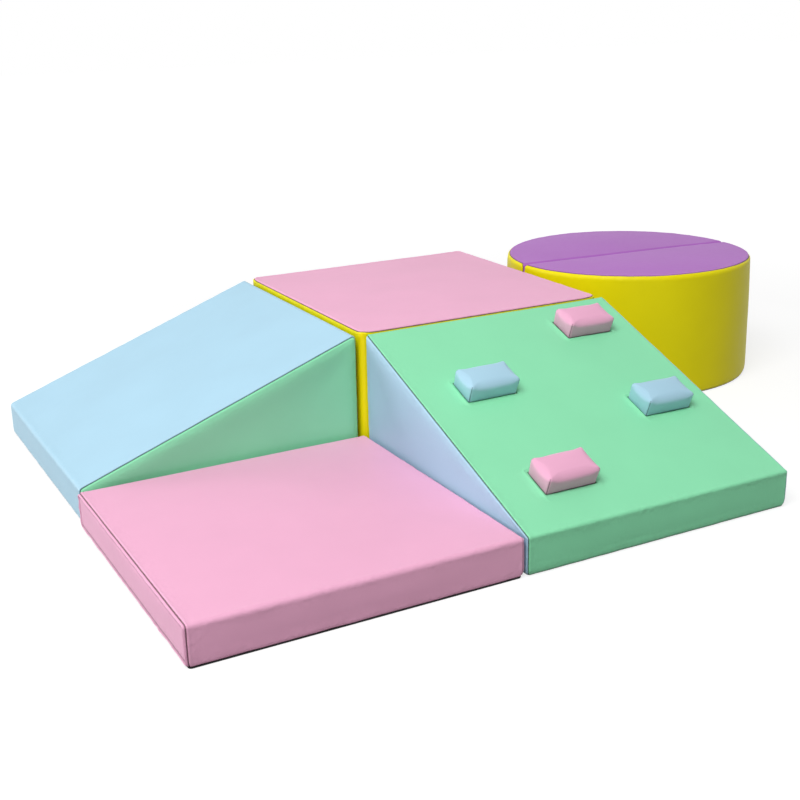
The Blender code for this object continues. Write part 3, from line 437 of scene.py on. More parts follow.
class BoxForm:
    """A block on a rectangle, whose top may slope down towards -Y. Its frame is at its middle."""

    def __init__(self, width, length, high, low, crown):
        self.half_x = width / 2
        self.half_y = length / 2
        self.high = high
        self.low = low
        self.crown = crown
        self.middle = Vector((0, 0, low / 2))

    def top_at(self, y):
        return self.low + (self.high - self.low) * (y + self.half_y) / (2 * self.half_y)

    def soften(self, point):
        """Where a point of the plain block lies once its top is crowned and its sides swell."""
        x, y, z = point
        across = x / self.half_x
        along = y / self.half_y
        top = self.top_at(y)
        swell = swell_at(z, top, SIDE_SWELL)
        x += across * (swell * (1 - along**2) - draw_at(z))
        y += along * (swell * (1 - across**2) - draw_at(z))
        z += self.crown * (1 - across**2) * (1 - along**2) * z / top
        return Vector((x, y, z))


class HalfRoundForm:
    """Half of a round block. Its frame is on the round's axis and its flat side faces -Y.

    The foam isn't cut quite true: the rim lies higher than the flat side, or lower, and the curved
    side leans in towards the top.
    """

    def __init__(self, radius, height, crown, rim_lift, lean):
        self.radius = radius
        self.high = height
        self.crown = crown
        self.rim_lift = rim_lift
        self.lean = lean
        self.middle = Vector((0, radius / 2, height / 2))

    def soften(self, point):
        """Where a point of the plain half lies once its top is crowned and its sides swell."""
        x, y, z = point
        across = x / self.radius
        away = y / self.radius
        swell = swell_at(z, self.high, SIDE_SWELL) * (1 - (1 - away) ** 2)
        flat_swell = swell_at(z, self.high, FLAT_SWELL) * (1 - across**2)
        dome = 4 * away * (1 - across**2 - away**2) / (1 + away)
        out = swell - draw_at(z) + self.lean * (1 - 2 * z / self.high)
        x += across * out
        y += away * out + (1 - away) * (draw_at(z) - flat_swell)
        z += (self.crown * dome + self.rim_lift * away) * z / self.high
        return Vector((x, y, z))


class Block:
    """Rows of points on one layer of a block, the cover or the core."""

    def __init__(self, form, layer):
        self.form = form
        self.layer = layer
        self.radius = layer.edge_radius - layer.depth
        self.gap_angle = layer.gap / layer.edge_radius
        self.level_count = max(2, round((form.high - DRAW_HEIGHT) / layer.spacing))

    def rounding(self, angle):
        """How far in from the side and down from the top a point of a rounded edge lies."""
        edge = self.layer.edge_radius
        return edge - self.radius * math.cos(angle), edge - self.radius * math.sin(angle)

    def roundings(self, start, end):
        return [self.rounding(angle) for angle in between(start, end, self.layer.edge_shares)]

    def levels(self, shoulder):
        """Heights up a side: through the drawn-in foot, and up to where its edge is rounded."""
        foot = [self.layer.bottom] + [DRAW_HEIGHT * share for share in FOOT_SHARES]
        near = [shoulder - step for step in reversed(self.layer.near)]
        last = near[0] if near else shoulder
        inner = spread(DRAW_HEIGHT, last, self.level_count)[1:]
        return foot + inner + near[1:] + [shoulder] if near else foot + inner


class WrappedBlock(Block):
    """A ramp or mat: one wrap over its back, top and front, and a panel on each side."""

    fold_steps = 6

    def __init__(self, form, layer, high_radius, low_radius, cross_lines=(), slope_lines=()):
        super().__init__(form, layer)
        self.high_radius = high_radius
        self.low_radius = low_radius
        self.cross_lines = cross_lines
        self.slope_lines = slope_lines
        self.slope = (form.high - form.low) / (2 * form.half_y)

    def slope_shares(self):
        """Where the rows lie between the crest and the lip."""
        length = 2 * self.form.half_y * math.hypot(1, self.slope)
        lines = [line / length for line in self.slope_lines]
        return with_lines(graded(length, self.layer), lines, LINE_CLEARANCE / length)[1:-1]

    def profile(self, down):
        """The wrap's line in side view, this deep, from the high end's foot round to the low's."""
        form = self.form
        drop = down * math.hypot(1, self.slope)
        back = form.half_y - down
        bottom = self.layer.bottom
        back_top = Vector((back, form.top_at(back) - drop))
        front_top = Vector((-back, form.top_at(-back) - drop))
        high_radius = max(self.high_radius - down, MIN_FOLD_RADIUS)
        low_radius = max(self.low_radius - down, MIN_FOLD_RADIUS)
        steps = self.fold_steps
        crest = fillet(Vector((back, bottom)), back_top, front_top, high_radius, steps)
        lip = fillet(back_top, front_top, Vector((-back, bottom)), low_radius, steps)
        ups = [Vector((back, level)) for level in self.levels(crest[0].y)[:-1]]
        downs = [Vector((-back, level)) for level in self.levels(lip[-1].y)[:-1]]
        run = between(crest[-1], lip[0], self.slope_shares())
        return ups + crest + run + lip + downs[::-1]

    def row(self, x, down):
        return [Vector((x, point.x, point.y)) for point in self.profile(down)]

    def wrap_rows(self):
        half_x = self.form.half_x
        edges = self.roundings(SEAM_ANGLE + self.gap_angle, QUARTER_TURN)
        left = [(inward - half_x, down) for inward, down in edges]
        right = [(-x, down) for x, down in reversed(left)]
        start = left[-1][0]
        width = -2 * start
        lines = [(line - start) / width for line in self.cross_lines]
        shares = with_lines(graded(width, self.layer), lines, LINE_CLEARANCE / width)[1:-1]
        run = [(x, self.layer.depth) for x in between(start, -start, shares)]
        return [self.row(x, down) for x, down in left + run + right]

    def side_grids(self, side):
        edges = self.roundings(SEAM_ANGLE - self.gap_angle, 0)
        band = [self.row(side * (self.form.half_x - inward), down) for inward, down in edges]
        line = band[-1]
        corner = len(self.levels(self.form.low)) - 1 + self.fold_steps // 2
        left, top, right = line[: corner + 1], line[corner:-corner], line[-1 - corner :][::-1]
        bottom = between(left[0], right[0], shares_along(top))
        return [band, patch(bottom, top, left, right)]

    def panels(self):
        left, right = self.side_grids(-1), self.side_grids(1)
        return {"wrap": [self.wrap_rows()], "left": left, "right": right}

    def base_line(self, inset):
        """The plan line of the base, a ring."""
        return rounded_ring(self.form.half_x, self.form.half_y, SEAM_RADIUS, inset)


def rounded_corner(half_x, half_y, radius, inset, quarter, reach, shares):
    """Points round one corner of a rectangle, anticlockwise. Quarter 0 is the right back one."""
    side_x, side_y = ((1, 1), (-1, 1), (-1, -1), (1, -1))[quarter % 4]
    centre = Vector((side_x * (half_x - radius), side_y * (half_y - radius)))
    start, end = (QUARTER_TURN * (quarter + share) for share in reach)
    rays = (Vector((math.cos(angle), math.sin(angle))) for angle in between(start, end, shares))
    return [centre + (radius - inset) * ray for ray in rays]


def rounded_ring(half_x, half_y, radius, inset):
    """Points all round a rectangle with rounded corners, anticlockwise."""
    size = (half_x, half_y, radius, inset)
    corners = (rounded_corner(*size, quarter, (0, 1), QUARTERS) for quarter in range(4))
    return [point for corner in corners for point in corner]


class BoxedBlock(Block):
    """The platform block: a top panel, a boxing round three sides and a panel on the back.

    The top's seam lies low on the rounded edge. It climbs at the corners, where the boxing flares.
    """

    seam_rise = math.radians(22)
    corner_rise = math.radians(44)
    flare_reach = 0.018

    def __init__(self, form, layer, post_radius):
        super().__init__(form, layer)
        self.post_radius = post_radius

    def side_line(self, quarter, inset, start_gap=0, end_gap=0):
        """The plan line from the middle of one corner to the middle of the next."""
        place = (self.form.half_x, self.form.half_y, self.post_radius, inset)
        shares = self.layer.corner_shares
        first = rounded_corner(*place, quarter, (0.5 + start_gap, 1), shares)
        last = rounded_corner(*place, quarter + 1, (0, 0.5 - end_gap), backwards(shares))
        run = between(first[-1], last[0], graded((last[0] - first[-1]).length, self.layer))
        return first + run[1:-1] + last

    def front_run(self, inset, gap):
        left, front = self.side_line(1, inset, gap), self.side_line(2, inset)
        return left + front[1:] + self.side_line(3, inset, 0, gap)[1:]

    def back_run(self, inset, gap):
        return self.side_line(0, inset, gap, gap)

    def ring(self, inset):
        line = self.base_line(inset)
        return line + line[:1]

    def rise_at(self, place):
        """How far up the rounded edge the seam lies over a point of the plan."""
        corner = math.hypot(self.form.half_x - abs(place.x), self.form.half_y - abs(place.y))
        return self.seam_rise + self.corner_rise * bump(corner, self.flare_reach)

    def rim_row(self, outer, inner, angles):
        """A row along the rounded edge, at its own angle up the edge over each point."""
        row = []
        for outside, inside, angle in zip(outer, inner, angles):
            level = self.form.high - self.layer.edge_radius + self.radius * math.sin(angle)
            row.append(Vector((*outside.lerp(inside, 1 - math.cos(angle)), level)))
        return row

    def side_rows(self, run):
        gap = self.layer.gap / self.post_radius / QUARTER_TURN
        shoulder = self.form.high - self.layer.edge_radius
        rows = [lift(run(self.layer.depth, gap), level) for level in self.levels(shoulder)]
        outer, inner = run(self.layer.depth, gap), run(self.layer.edge_radius, gap)
        for share in self.layer.edge_shares[-2::-1]:
            angles = [(self.rise_at(place) - self.gap_angle) * (1 - share) for place in outer]
            rows.append(self.rim_row(outer, inner, angles))
        return rows

    def top_grids(self):
        band = []
        outer, inner = self.ring(self.layer.depth), self.ring(self.layer.edge_radius)
        seam = [self.rise_at(place) + self.gap_angle for place in outer]
        for share in self.layer.edge_shares:
            angles = [start + (QUARTER_TURN - start) * share for start in seam]
            band.append(self.rim_row(outer, inner, angles))
        sides = [self.side_line(quarter, self.layer.edge_radius) for quarter in range(4)]
        back, left, front, right = (lift(side, self.form.high - self.layer.depth) for side in sides)
        return [band, patch(front, back[::-1], left[::-1], right)]

    def panels(self):
        return {
            "top": self.top_grids(),
            "boxing": [self.side_rows(self.front_run)],
            "back": [self.side_rows(self.back_run)],
        }

    def base_line(self, inset):
        return [point for quarter in range(4) for point in self.side_line(quarter, inset)[:-1]]


class HalfRoundBlock(Block):
    """Half of the round block: a wrap up its flat side and over its top, and a curved boxing.

    The flat side's upper corners are rounded by a ball, across which the seam turns from the
    upright edge into the rim. The cover sits a little askew on its foam, so along the rim the seam
    runs from one height on the rounded edge to another.
    """

    def __init__(self, form, layer, rim_rises):
        super().__init__(form, layer)
        edge = layer.edge_radius
        self.rim_rises = rim_rises
        self.reach = form.radius - edge
        self.first_angle = math.asin(edge / self.reach)
        self.edge_x = self.reach * math.cos(self.first_angle)
        self.ball = Vector((self.edge_x, edge, form.high - edge))
        half_steps = max(4, round(math.pi * form.radius / layer.spacing / 2))
        self.rim_angles = spread(self.first_angle, math.pi - self.first_angle, 2 * half_steps)
        self.run_shares = graded(2 * self.edge_x, layer)[1:-1]

    def rim_rise(self, angle):
        """How far up the rounded edge the seam lies at this place of the rim."""
        right, middle, left = self.rim_rises
        across = math.cos(angle)
        return middle + ((right if across > 0 else left) - middle) * across**2

    def direction(self, plan, rise):
        level = math.cos(rise)
        return Vector((level * math.cos(plan), level * math.sin(plan), math.sin(rise)))

    def on_ball(self, direction):
        return self.ball + direction * self.radius

    def on_rim(self, angle, rise):
        foot = Vector((self.reach * math.cos(angle), self.reach * math.sin(angle), self.ball.z))
        return foot + self.direction(angle, rise) * self.radius

    def seam_direction(self, share, edge_angle, rim_rise):
        """The seam's course over the ball, from the upright edge to the rim."""
        start = self.direction(-edge_angle, 0)
        return start.slerp(self.direction(self.first_angle, rim_rise), share)

    def seam_shares(self):
        shares = self.layer.edge_shares
        half = [share / 2 for share in shares]
        return half + [1 - share for share in reversed(half[:-1])]

    def column(self, curve):
        """Points up the curved side and round its edge."""
        foot = curve[0]
        return [Vector((foot.x, foot.y, level)) for level in self.levels(self.ball.z)] + curve[1:]

    def end_columns(self, gap, rim_rise):
        """Columns of the curved side round the right end, from the upright seam to the rim."""
        edge_angle = SEAM_ANGLE - gap
        columns = []
        for share in self.seam_shares()[:-1]:
            side = self.direction(-edge_angle * (1 - share) + self.first_angle * share, 0)
            seam = self.seam_direction(share, edge_angle, rim_rise - gap)
            rises = backwards(self.layer.edge_shares)
            columns.append(self.column([self.on_ball(side.slerp(seam, rise)) for rise in rises]))
        return columns

    def boxing_columns(self, gap):
        """Columns of points up the curved side, from its right end to its left end."""
        rises = backwards(self.layer.edge_shares)
        columns = self.end_columns(gap, self.rim_rise(self.rim_angles[0]))
        for angle in self.rim_angles:
            rim_rise = self.rim_rise(angle) - gap
            columns.append(self.column([self.on_rim(angle, rim_rise * rise) for rise in rises]))
        left = self.end_columns(gap, self.rim_rise(self.rim_angles[-1]))
        return columns + [mirrored(column)[::-1] for column in reversed(left)]

    def wrap_row(self, right, left):
        """A row across the wrap, right seam to left. Both ends are built on the right."""
        opposite = mirrored(left)
        return right + between(right[-1], opposite[0], self.run_shares) + opposite

    def wrap_rows(self, gap):
        """Rows up the flat side, over the fold and across the top to the middle of the rim."""
        shares = self.layer.edge_shares
        edge_angle = SEAM_ANGLE + gap
        rows = []
        plans = between(-edge_angle, -QUARTER_TURN, shares)
        foot = [self.on_ball(self.direction(plan, 0)) for plan in plans]
        for level in self.levels(self.ball.z)[:-1]:
            edge = [Vector((point.x, point.y, level)) for point in foot]
            rows.append(self.wrap_row(edge, edge))
        for share in self.seam_shares():
            fold = self.direction(-QUARTER_TURN, QUARTER_TURN * share)
            ends = []
            for angle in (self.rim_angles[0], self.rim_angles[-1]):
                seam = self.seam_direction(share, edge_angle, self.rim_rise(angle) + gap)
                ends.append([self.on_ball(seam.slerp(fold, turn)) for turn in shares])
            rows.append(self.wrap_row(*ends))
        for angle in self.rim_angles[1 : len(self.rim_angles) // 2 + 1]:
            ends = []
            for place in (angle, math.pi - angle):
                rises = between(self.rim_rise(place) + gap, QUARTER_TURN, shares)
                ends.append([self.on_rim(angle, rise) for rise in rises])
            rows.append(self.wrap_row(*ends))
        return rows

    def panels(self):
        gap = self.gap_angle
        return {"wrap": [self.wrap_rows(gap)], "boxing": [self.boxing_columns(gap)]}

    def base_line(self, inset):
        curved = [column[0].xy for column in self.boxing_columns(0)]
        plans = between(-SEAM_ANGLE, -QUARTER_TURN, self.layer.edge_shares)
        edge = [self.on_ball(self.direction(plan, 0)) for plan in plans]
        flat = [point.xy for point in self.wrap_row(edge, edge)]
        middle = Vector((0, self.form.radius / 2))
        return [point + (middle - point).normalized() * inset for point in curved + flat[-2:0:-1]]


def grid_faces(bm, rows):
    made = [[bm.verts.new(point) for point in row] for row in rows]
    for first, second in zip(made, made[1:]):
        for at in range(len(first) - 1):
            bm.faces.new((first[at], first[at + 1], second[at + 1], second[at]))


def face_outwards(bm, middle):
    """Turns an open skin's faces away from the middle of its block."""
    bmesh.ops.recalc_face_normals(bm, faces=bm.faces)
    outward = 0
    for face in bm.faces:
        outward += (face.calc_center_median() - middle).dot(face.normal) * face.calc_area()
    if outward < 0:
        bmesh.ops.reverse_faces(bm, faces=bm.faces)
    bm.normal_update()


def skin_of(form, grids):
    """Softened grids of points, joined where they meet."""
    bm = bmesh.new()
    for rows in grids:
        grid_faces(bm, [[form.soften(point) for point in row] for row in rows])
    bmesh.ops.remove_doubles(bm, verts=bm.verts, dist=MERGE_DISTANCE)
    return bm


def search_tree(places):
    """A tree that finds the nearest of these places."""
    tree = KDTree(len(places))
    for at, place in enumerate(places):
        tree.insert(place, at)
    tree.balance()
    return tree


def seam_tree(bm):
    """The places along a panel's open edges, where it is sewn."""
    places = []
    for edge in bm.edges:
        if edge.is_boundary:
            start, end = (vert.co for vert in edge.verts)
            steps = max(1, math.ceil((end - start).length / SEAM_SAMPLE))
            places += [start.lerp(end, step / steps) for step in range(steps + 1)]
    return search_tree(places)


def bump(distance, width):
    """A smooth bump: 1 at no distance, and next to nothing at twice the width."""
    return math.exp(-((distance / width) ** 2))


def along_seam(distance, line):
    """The bump of a line that runs along a seam."""
    place, width = line
    return bump(distance - place, width)


class Sewing:
    """How far sewing and wear lift the cloth off its plain form.

    shoulder is how far the foam fills the panel out, and the height of the neighbour against it.
    own is three functions of a place: what else lifts the cloth there, paints shade on it and puckers
    it.
    """

    def __init__(self, settings, matrix, shoulder=(0, 0), welt=0.0, own=None):
        self.settings = settings
        self.matrix = matrix
        self.shoulder, self.clear_height = shoulder
        self.welt = welt
        self.shape, self.painted_shade, self.gathers = own or (None, None, None)

    def seam_lift(self, seam, distance):
        """The dip at a seam, the bead beside it, and the gathers that die away from it."""
        settings = self.settings
        world = self.matrix @ seam
        wave = noise.noise(world / settings.pucker_length)
        fine_length = settings.pucker_length * FINE_GATHER_SHARE
        gather = noise.noise(world / fine_length + FINE_GATHER_SHIFT)
        lift_here = -settings.groove_depth * bump(distance, settings.groove_width)
        lift_here += settings.bead_height * along_seam(distance, BEAD)
        lift_here += settings.pucker_height * wave * math.exp(-distance / settings.pucker_reach)
        lift_here += settings.pucker_height * 0.5 * gather * along_seam(distance, FINE_GATHERS)
        if self.welt:
            lift_here += self.welt * (1 + 0.5 * gather) * along_seam(distance, WELT)
            lift_here -= self.welt * 0.6 * along_seam(distance, WELT_DIP)
        return lift_here

    def shoulder_lift(self, place, distance):
        """How far the foam fills a side out beside its seam, where no neighbour is against it."""
        near = distance / self.settings.shoulder_reach
        free = 1
        if self.clear_height:
            free = min(1, max(0, (place.z - self.clear_height) / SHOULDER_RISE))
        return self.shoulder * free * near * math.exp(1 - near)

    def seam_nearness(self, distance):
        """1 in a seam or in the stitched line of a welt; in a seam it sets painted shade, with some
        dust.
        """
        near = bump(distance, SEAM_SHADE_WIDTH)
        return max(near, 0.7 * along_seam(distance, WELT_STITCHES)) if self.welt else near

    def wave_lift(self, place, distance):
        """Broad, low waves, which lie still at the seams."""
        settings = self.settings
        world = self.matrix @ place
        broad = noise.noise(world / settings.wave_length)
        fine_length = settings.wave_length * FINE_WAVE_SHARE
        fine = noise.noise(world / fine_length + FINE_WAVE_SHIFT)
        return settings.wave_height * (broad + 0.3 * fine) * (1 - bump(distance, STILL_REACH))

    def apply(self, bm):
        tree = seam_tree(bm)
        nearness = bm.verts.layers.float.new("seam_nearness")
        gathered = bm.verts.layers.float.new("gathers")
        moves = []
        for vert in bm.verts:
            seam, _, distance = tree.find(vert.co)
            lifted = self.seam_lift(seam, distance) + self.wave_lift(vert.co, distance)
            lifted += self.shoulder_lift(vert.co, distance)
            if self.shape:
                lifted += self.shape(vert.co)
            vert[nearness] = self.seam_nearness(distance)
            vert[gathered] = math.exp(-distance / self.settings.pucker_reach)
            # Painted shade in the seams round the holds' feet, and the gathers there
            if self.painted_shade:
                vert[nearness] = max(vert[nearness], self.painted_shade(vert.co))
                vert[gathered] = max(vert[gathered], self.gathers(vert.co))
            moves.append((vert, vert.normal * lifted))
        for vert, move in moves:
            vert.co += move


def fold_allowance(bm):
    """Folds the open edges in behind the seam."""
    bm.normal_update()
    edges = [edge for edge in bm.edges if edge.is_boundary]
    normals = {vert: vert.normal.copy() for edge in edges for vert in edge.verts}
    made = bmesh.ops.extrude_edge_only(bm, edges=edges)["geom"]
    for vert in (item for item in made if isinstance(item, bmesh.types.BMVert)):
        linked = (edge.other_vert(vert) for edge in vert.link_edges)
        outer = next(other for other in linked if other in normals)
        vert.co -= normals[outer] * ALLOWANCE


def settle(thing):
    """Applies the modifiers of a piece, so that its mesh is what rides on its body."""
    bpy.context.view_layer.update()
    graph = bpy.context.evaluated_depsgraph_get()
    mesh = bpy.data.meshes.new_from_object(thing.evaluated_get(graph), depsgraph=graph)
    old = thing.data
    thing.modifiers.clear()
    thing.data = mesh
    bpy.data.meshes.remove(old)


def object_from(name, bm, materials, matrix):
    mesh = bpy.data.meshes.new(name)
    bm.to_mesh(mesh)
    bm.free()
    for material in materials:
        mesh.materials.append(material)
    thing = bpy.data.objects.new(name, mesh)
    thing.matrix_world = matrix
    bpy.context.scene.collection.objects.link(thing)
    return thing


def shade(mesh):
    mesh.shade_smooth()
    mesh.set_sharp_from_angle(angle=SHARP_ANGLE)


def make_shell(thing, cutter=None):
    """Gives a skin its thickness, and cuts the zip's opening out of it."""
    shell = thing.modifiers.new("cloth thickness", "SOLIDIFY")
    shell.thickness = CLOTH_THICKNESS
    shell.offset = -1
    if cutter:
        opening = thing.modifiers.new("zip opening", "BOOLEAN")
        opening.object = cutter
    settle(thing)
    shade(thing.data)
    if cutter:
        bpy.data.objects.remove(cutter)


def hand_over(thing, body, nodes):
    """Seats a piece on its body, in place of its CAD nodes."""
    thing.data.transform(thing.matrix_world)
    thing.matrix_world = Matrix.Identity(4)
    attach(thing, body)
    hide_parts(*nodes)


def set_node(tree, node, settings, links):
    """Gives a shader node its settings and input values, and links outputs into it."""
    for name, value in settings.items():
        if name in node.bl_rna.properties.keys():
            setattr(node, name, value)
        else:
            node.inputs[name].default_value = value
    for name, output in links.items():
        tree.links.new(output, node.inputs[name])


def add_node(tree, kind, settings=None, links=None):
    """Adds a shader node of this kind, with its settings and links, and gives its outputs."""
    node = tree.nodes.new(f"ShaderNode{kind}")
    set_node(tree, node, settings or {}, links or {})
    return node.outputs


def opaque(hex_colour, tone=1):
    """The value of a colour socket for an sRGB hex colour, darkened to this share."""
    return (*(part * tone for part in linear(hex_colour)), 1)


def new_material(name):
    """A new material, its nodes, and the link that places a texture on the object."""
    material = bpy.data.materials.new(name)
    material.use_nodes = True
    tree = material.node_tree
    return material, tree, {"Vector": add_node(tree, "TexCoord")["Object"]}


def finished(material, values, links):
    """The material, with these values and links given to its shader."""
    tree = material.node_tree
    set_node(tree, tree.nodes["Principled BSDF"], values, links)
    return material


def coated_vinyl(name, colour):
    """Soft PVC-coated cloth, calendered with a fine leather grain: satin, with soft highlights."""
    material, tree, place = new_material(name)
    # The real grain is pebbles of about 1 mm; 1.7 mm is as fine as the render can show.
    grain = add_node(tree, "TexVoronoi", {"Scale": 1 / 0.0017, "feature": "SMOOTH_F1"}, place)
    creases = add_node(tree, "TexNoise", {"Scale": 1 / 0.012, "Detail": 4.0}, place)
    shallow = {"operation": "MULTIPLY_ADD", 1: 0.35}
    relief = add_node(tree, "Math", shallow, {0: creases["Fac"], 2: grain["Distance"]})
    # Small gathers, 6 mm apart, beside the seams.
    gathers = add_node(tree, "TexNoise", {"Scale": 1 / 0.012, "Detail": 1.0}, place)
    near = add_node(tree, "Attribute", {"attribute_name": "gathers"})
    rise = add_node(tree, "Math", {"operation": "MULTIPLY"}, {0: gathers["Fac"], 1: near["Fac"]})
    deep = {"Strength": 1.0, "Distance": 0.0022}
    folds = add_node(tree, "Bump", deep, {"Height": rise["Value"]})["Normal"]
    fine = {"Strength": 0.06, "Distance": 0.0006}
    bumps = add_node(tree, "Bump", fine, {"Height": relief["Value"], "Normal": folds})
    # The coating takes the light a little unevenly over hand-sized patches.
    patches = add_node(tree, "TexNoise", {"Scale": 1 / 0.16, "Detail": 3.0}, place)
    tone_range = {"From Min": 0.3, "From Max": 0.7, "To Min": 0.975, "To Max": 1.015}
    tone = add_node(tree, "MapRange", tone_range, {"Value": patches["Fac"]})
    toned = add_node(tree, "HueSaturation", {"Color": (*colour, 1)}, {"Value": tone["Result"]})
    # Painted shade and some dust in a seam, where the colour is deeper and much darker.
    seam = add_node(tree, "Attribute", {"attribute_name": "seam_nearness"})
    in_seam = (*(part**1.8 * 0.14 for part in colour), 1)
    shade_in = {"data_type": "RGBA", "blend_type": "MIX", MIX_B: in_seam}
    shaded = add_node(tree, "Mix", shade_in, {MIX_FACTOR: seam["Fac"], MIX_A: toned["Color"]})
    gloss_range = {"From Min": 0.3, "From Max": 0.7, "To Min": 0.45, "To Max": 0.50}
    gloss = add_node(tree, "MapRange", gloss_range, {"Value": creases["Fac"]})
    face = {"Base Color": shaded[MIX_RESULT], "Roughness": gloss["Result"]}
    face["Normal"] = bumps["Normal"]
    sheen = {"IOR": 1.5, "Specular IOR Level": 0.22, "Coat Weight": 0.03, "Coat Roughness": 0.35}
    return finished(material, sheen, face)


def open_cell_foam(name):
    """Polyurethane foam, cut with a wire: a dull, creamy face full of small open cells."""
    material, tree, place = new_material(name)
    cells = add_node(tree, "TexVoronoi", {"Scale": 1 / 0.0022}, place)["Distance"]
    cream = {"data_type": "RGBA", MIX_A: opaque("D9CFAF"), MIX_B: opaque("F0E9D2")}
    tones = add_node(tree, "Mix", cream, {MIX_FACTOR: cells})
    bumps = add_node(tree, "Bump", {"Strength": 0.6, "Distance": 0.001}, {"Height": cells})
    face = {"Base Color": tones[MIX_RESULT], "Normal": bumps["Normal"]}
    return finished(material, {"Roughness": 0.95, "Specular IOR Level": 0.2}, face)


def dotted_base_cloth(name):
    """Polyester cloth with moulded PVC dots: matt black, with a faint shine on each dot."""
    material, tree, place = new_material(name)
    # Dots 6 mm apart and about 3 mm across, over threads drawn 1 mm apart.
    dots = add_node(tree, "TexVoronoi", {"Scale": 1 / 0.006, "Randomness": 0.0}, place)
    dot_edge = {"From Min": 0.30, "From Max": 0.22}
    dome = add_node(tree, "MapRange", dot_edge, {"Value": dots["Distance"]})["Result"]
    weave = add_node(tree, "TexWave", {"Scale": 1 / 0.02, "bands_direction": "DIAGONAL"}, place)
    faint = {"operation": "MULTIPLY_ADD", 1: 0.15}
    relief = add_node(tree, "Math", faint, {0: weave["Fac"], 2: dome})["Value"]
    bumps = add_node(tree, "Bump", {"Strength": 0.5, "Distance": 0.0006}, {"Height": relief})
    blacks = {"data_type": "RGBA", MIX_A: opaque("161617"), MIX_B: opaque("2A2A2C")}
    tones = add_node(tree, "Mix", blacks, {MIX_FACTOR: dome})
    gloss = add_node(tree, "MapRange", {"To Min": 0.9, "To Max": 0.5}, {"Value": dome})
    face = {"Base Color": tones[MIX_RESULT], "Roughness": gloss["Result"]}
    face["Normal"] = bumps["Normal"]
    return finished(material, {}, face)


def woven_tape(name, hex_colour):
    """Woven polyester tape: a dull face with a fine rib across it."""
    material, tree, place = new_material(name)
    # Ribs of 0.8 mm, four wave periods to a unit of scale.
    rib = add_node(tree, "TexWave", {"Scale": 1 / 0.0032, "bands_direction": "Z"}, place)["Fac"]
    flecks = add_node(tree, "TexNoise", {"Scale": 1 / 0.002}, place)
    bumps = add_node(tree, "Bump", {"Strength": 0.4, "Distance": 0.0002}, {"Height": rib})
    threads = {"data_type": "RGBA", MIX_A: opaque(hex_colour, 0.7), MIX_B: opaque(hex_colour)}
    tones = add_node(tree, "Mix", threads, {MIX_FACTOR: flecks["Fac"]})
    face = {"Base Color": tones[MIX_RESULT], "Normal": bumps["Normal"]}
    return finished(material, {"Roughness": 0.85}, face)


def moulded_nylon(name, hex_colour, roughness):
    """Nylon, moulded or drawn: an even face with a low shine."""
    material, tree, place = new_material(name)
    haze = add_node(tree, "TexNoise", {"Scale": 1 / 0.004}, place)
    gloss_range = {"To Min": roughness - 0.08, "To Max": roughness + 0.08}
    gloss = add_node(tree, "MapRange", gloss_range, {"Value": haze["Fac"]})
    plain = {"Base Color": opaque(hex_colour), "IOR": 1.53}
    return finished(material, plain, {"Roughness": gloss["Result"]})


def plated_zinc(name):
    """Die-cast zinc, tumbled and nickel-plated: a bright face with faint, fine scuffs."""
    material, tree, place = new_material(name)
    scuffs = add_node(tree, "TexNoise", {"Scale": 1 / 0.0012, "Detail": 5.0}, place)
    gloss_range = {"To Min": 0.18, "To Max": 0.42}
    gloss = add_node(tree, "MapRange", gloss_range, {"Value": scuffs["Fac"]})
    metal = {"Base Color": opaque("C3C1BC"), "Metallic": 1.0}
    return finished(material, metal, {"Roughness": gloss["Result"]})


def pile_tape(name, hex_colour, pile, strength):
    """Hook or loop tape: a nylon pile on a woven ground, dull and dark between its tufts."""
    material, tree, place = new_material(name)
    tufts = add_node(tree, "TexVoronoi", {"Scale": 1 / pile}, place)["Distance"]
    tip_range = {"From Min": 0.6, "From Max": 0.1}
    tips = add_node(tree, "MapRange", tip_range, {"Value": tufts})["Result"]
    bumps = add_node(tree, "Bump", {"Strength": strength, "Distance": 0.0008}, {"Height": tips})
    nylon = {"data_type": "RGBA", MIX_A: opaque(hex_colour, 0.4), MIX_B: opaque(hex_colour)}
    tones = add_node(tree, "Mix", nylon, {MIX_FACTOR: tips})
    face = {"Base Color": tones[MIX_RESULT], "Normal": bumps["Normal"]}
    return finished(material, {"Roughness": 0.8, "Sheen Weight": 0.2}, face)


def seen_rays(tree):
    """1 for the rays that show a background: the camera's, a reflection's and a glass's."""
    rays = add_node(tree, "LightPath")
    seen = rays["Is Camera Ray"]
    for kind in ("Is Glossy Ray", "Is Transmission Ray"):
        seen = add_node(tree, "Math", {"operation": "MAXIMUM"}, {0: seen, 1: rays[kind]})["Value"]
    return seen


def studio_floor(name, colour):
    """Painted studio floor. It is seen as white, and keeps a soft shadow round the blocks."""
    material, tree, place = new_material(name)
    away = add_node(tree, "VectorMath", {"operation": "LENGTH"}, place)
    # The floor runs out into the white backdrop.
    fade_range = {"From Min": 1.6, "From Max": 4.0, "To Min": 0.76, "To Max": 1.0}
    fade = add_node(tree, "MapRange", fade_range, {"Value": away["Value"]})
    seen = seen_rays(tree)
    glow = add_node(tree, "Math", {"operation": "MULTIPLY"}, {0: seen, 1: fade["Result"]})
    greys = {"data_type": "RGBA", MIX_A: (*colour, 1), MIX_B: (0.32, 0.32, 0.32, 1)}
    paint = add_node(tree, "Mix", greys, {MIX_FACTOR: seen})
    matt = {"Roughness": 0.8, "Specular IOR Level": 0.0, "Emission Color": (1, 1, 1, 1)}
    face = {"Base Color": paint[MIX_RESULT], "Emission Strength": glow["Value"]}
    return finished(material, matt, face)


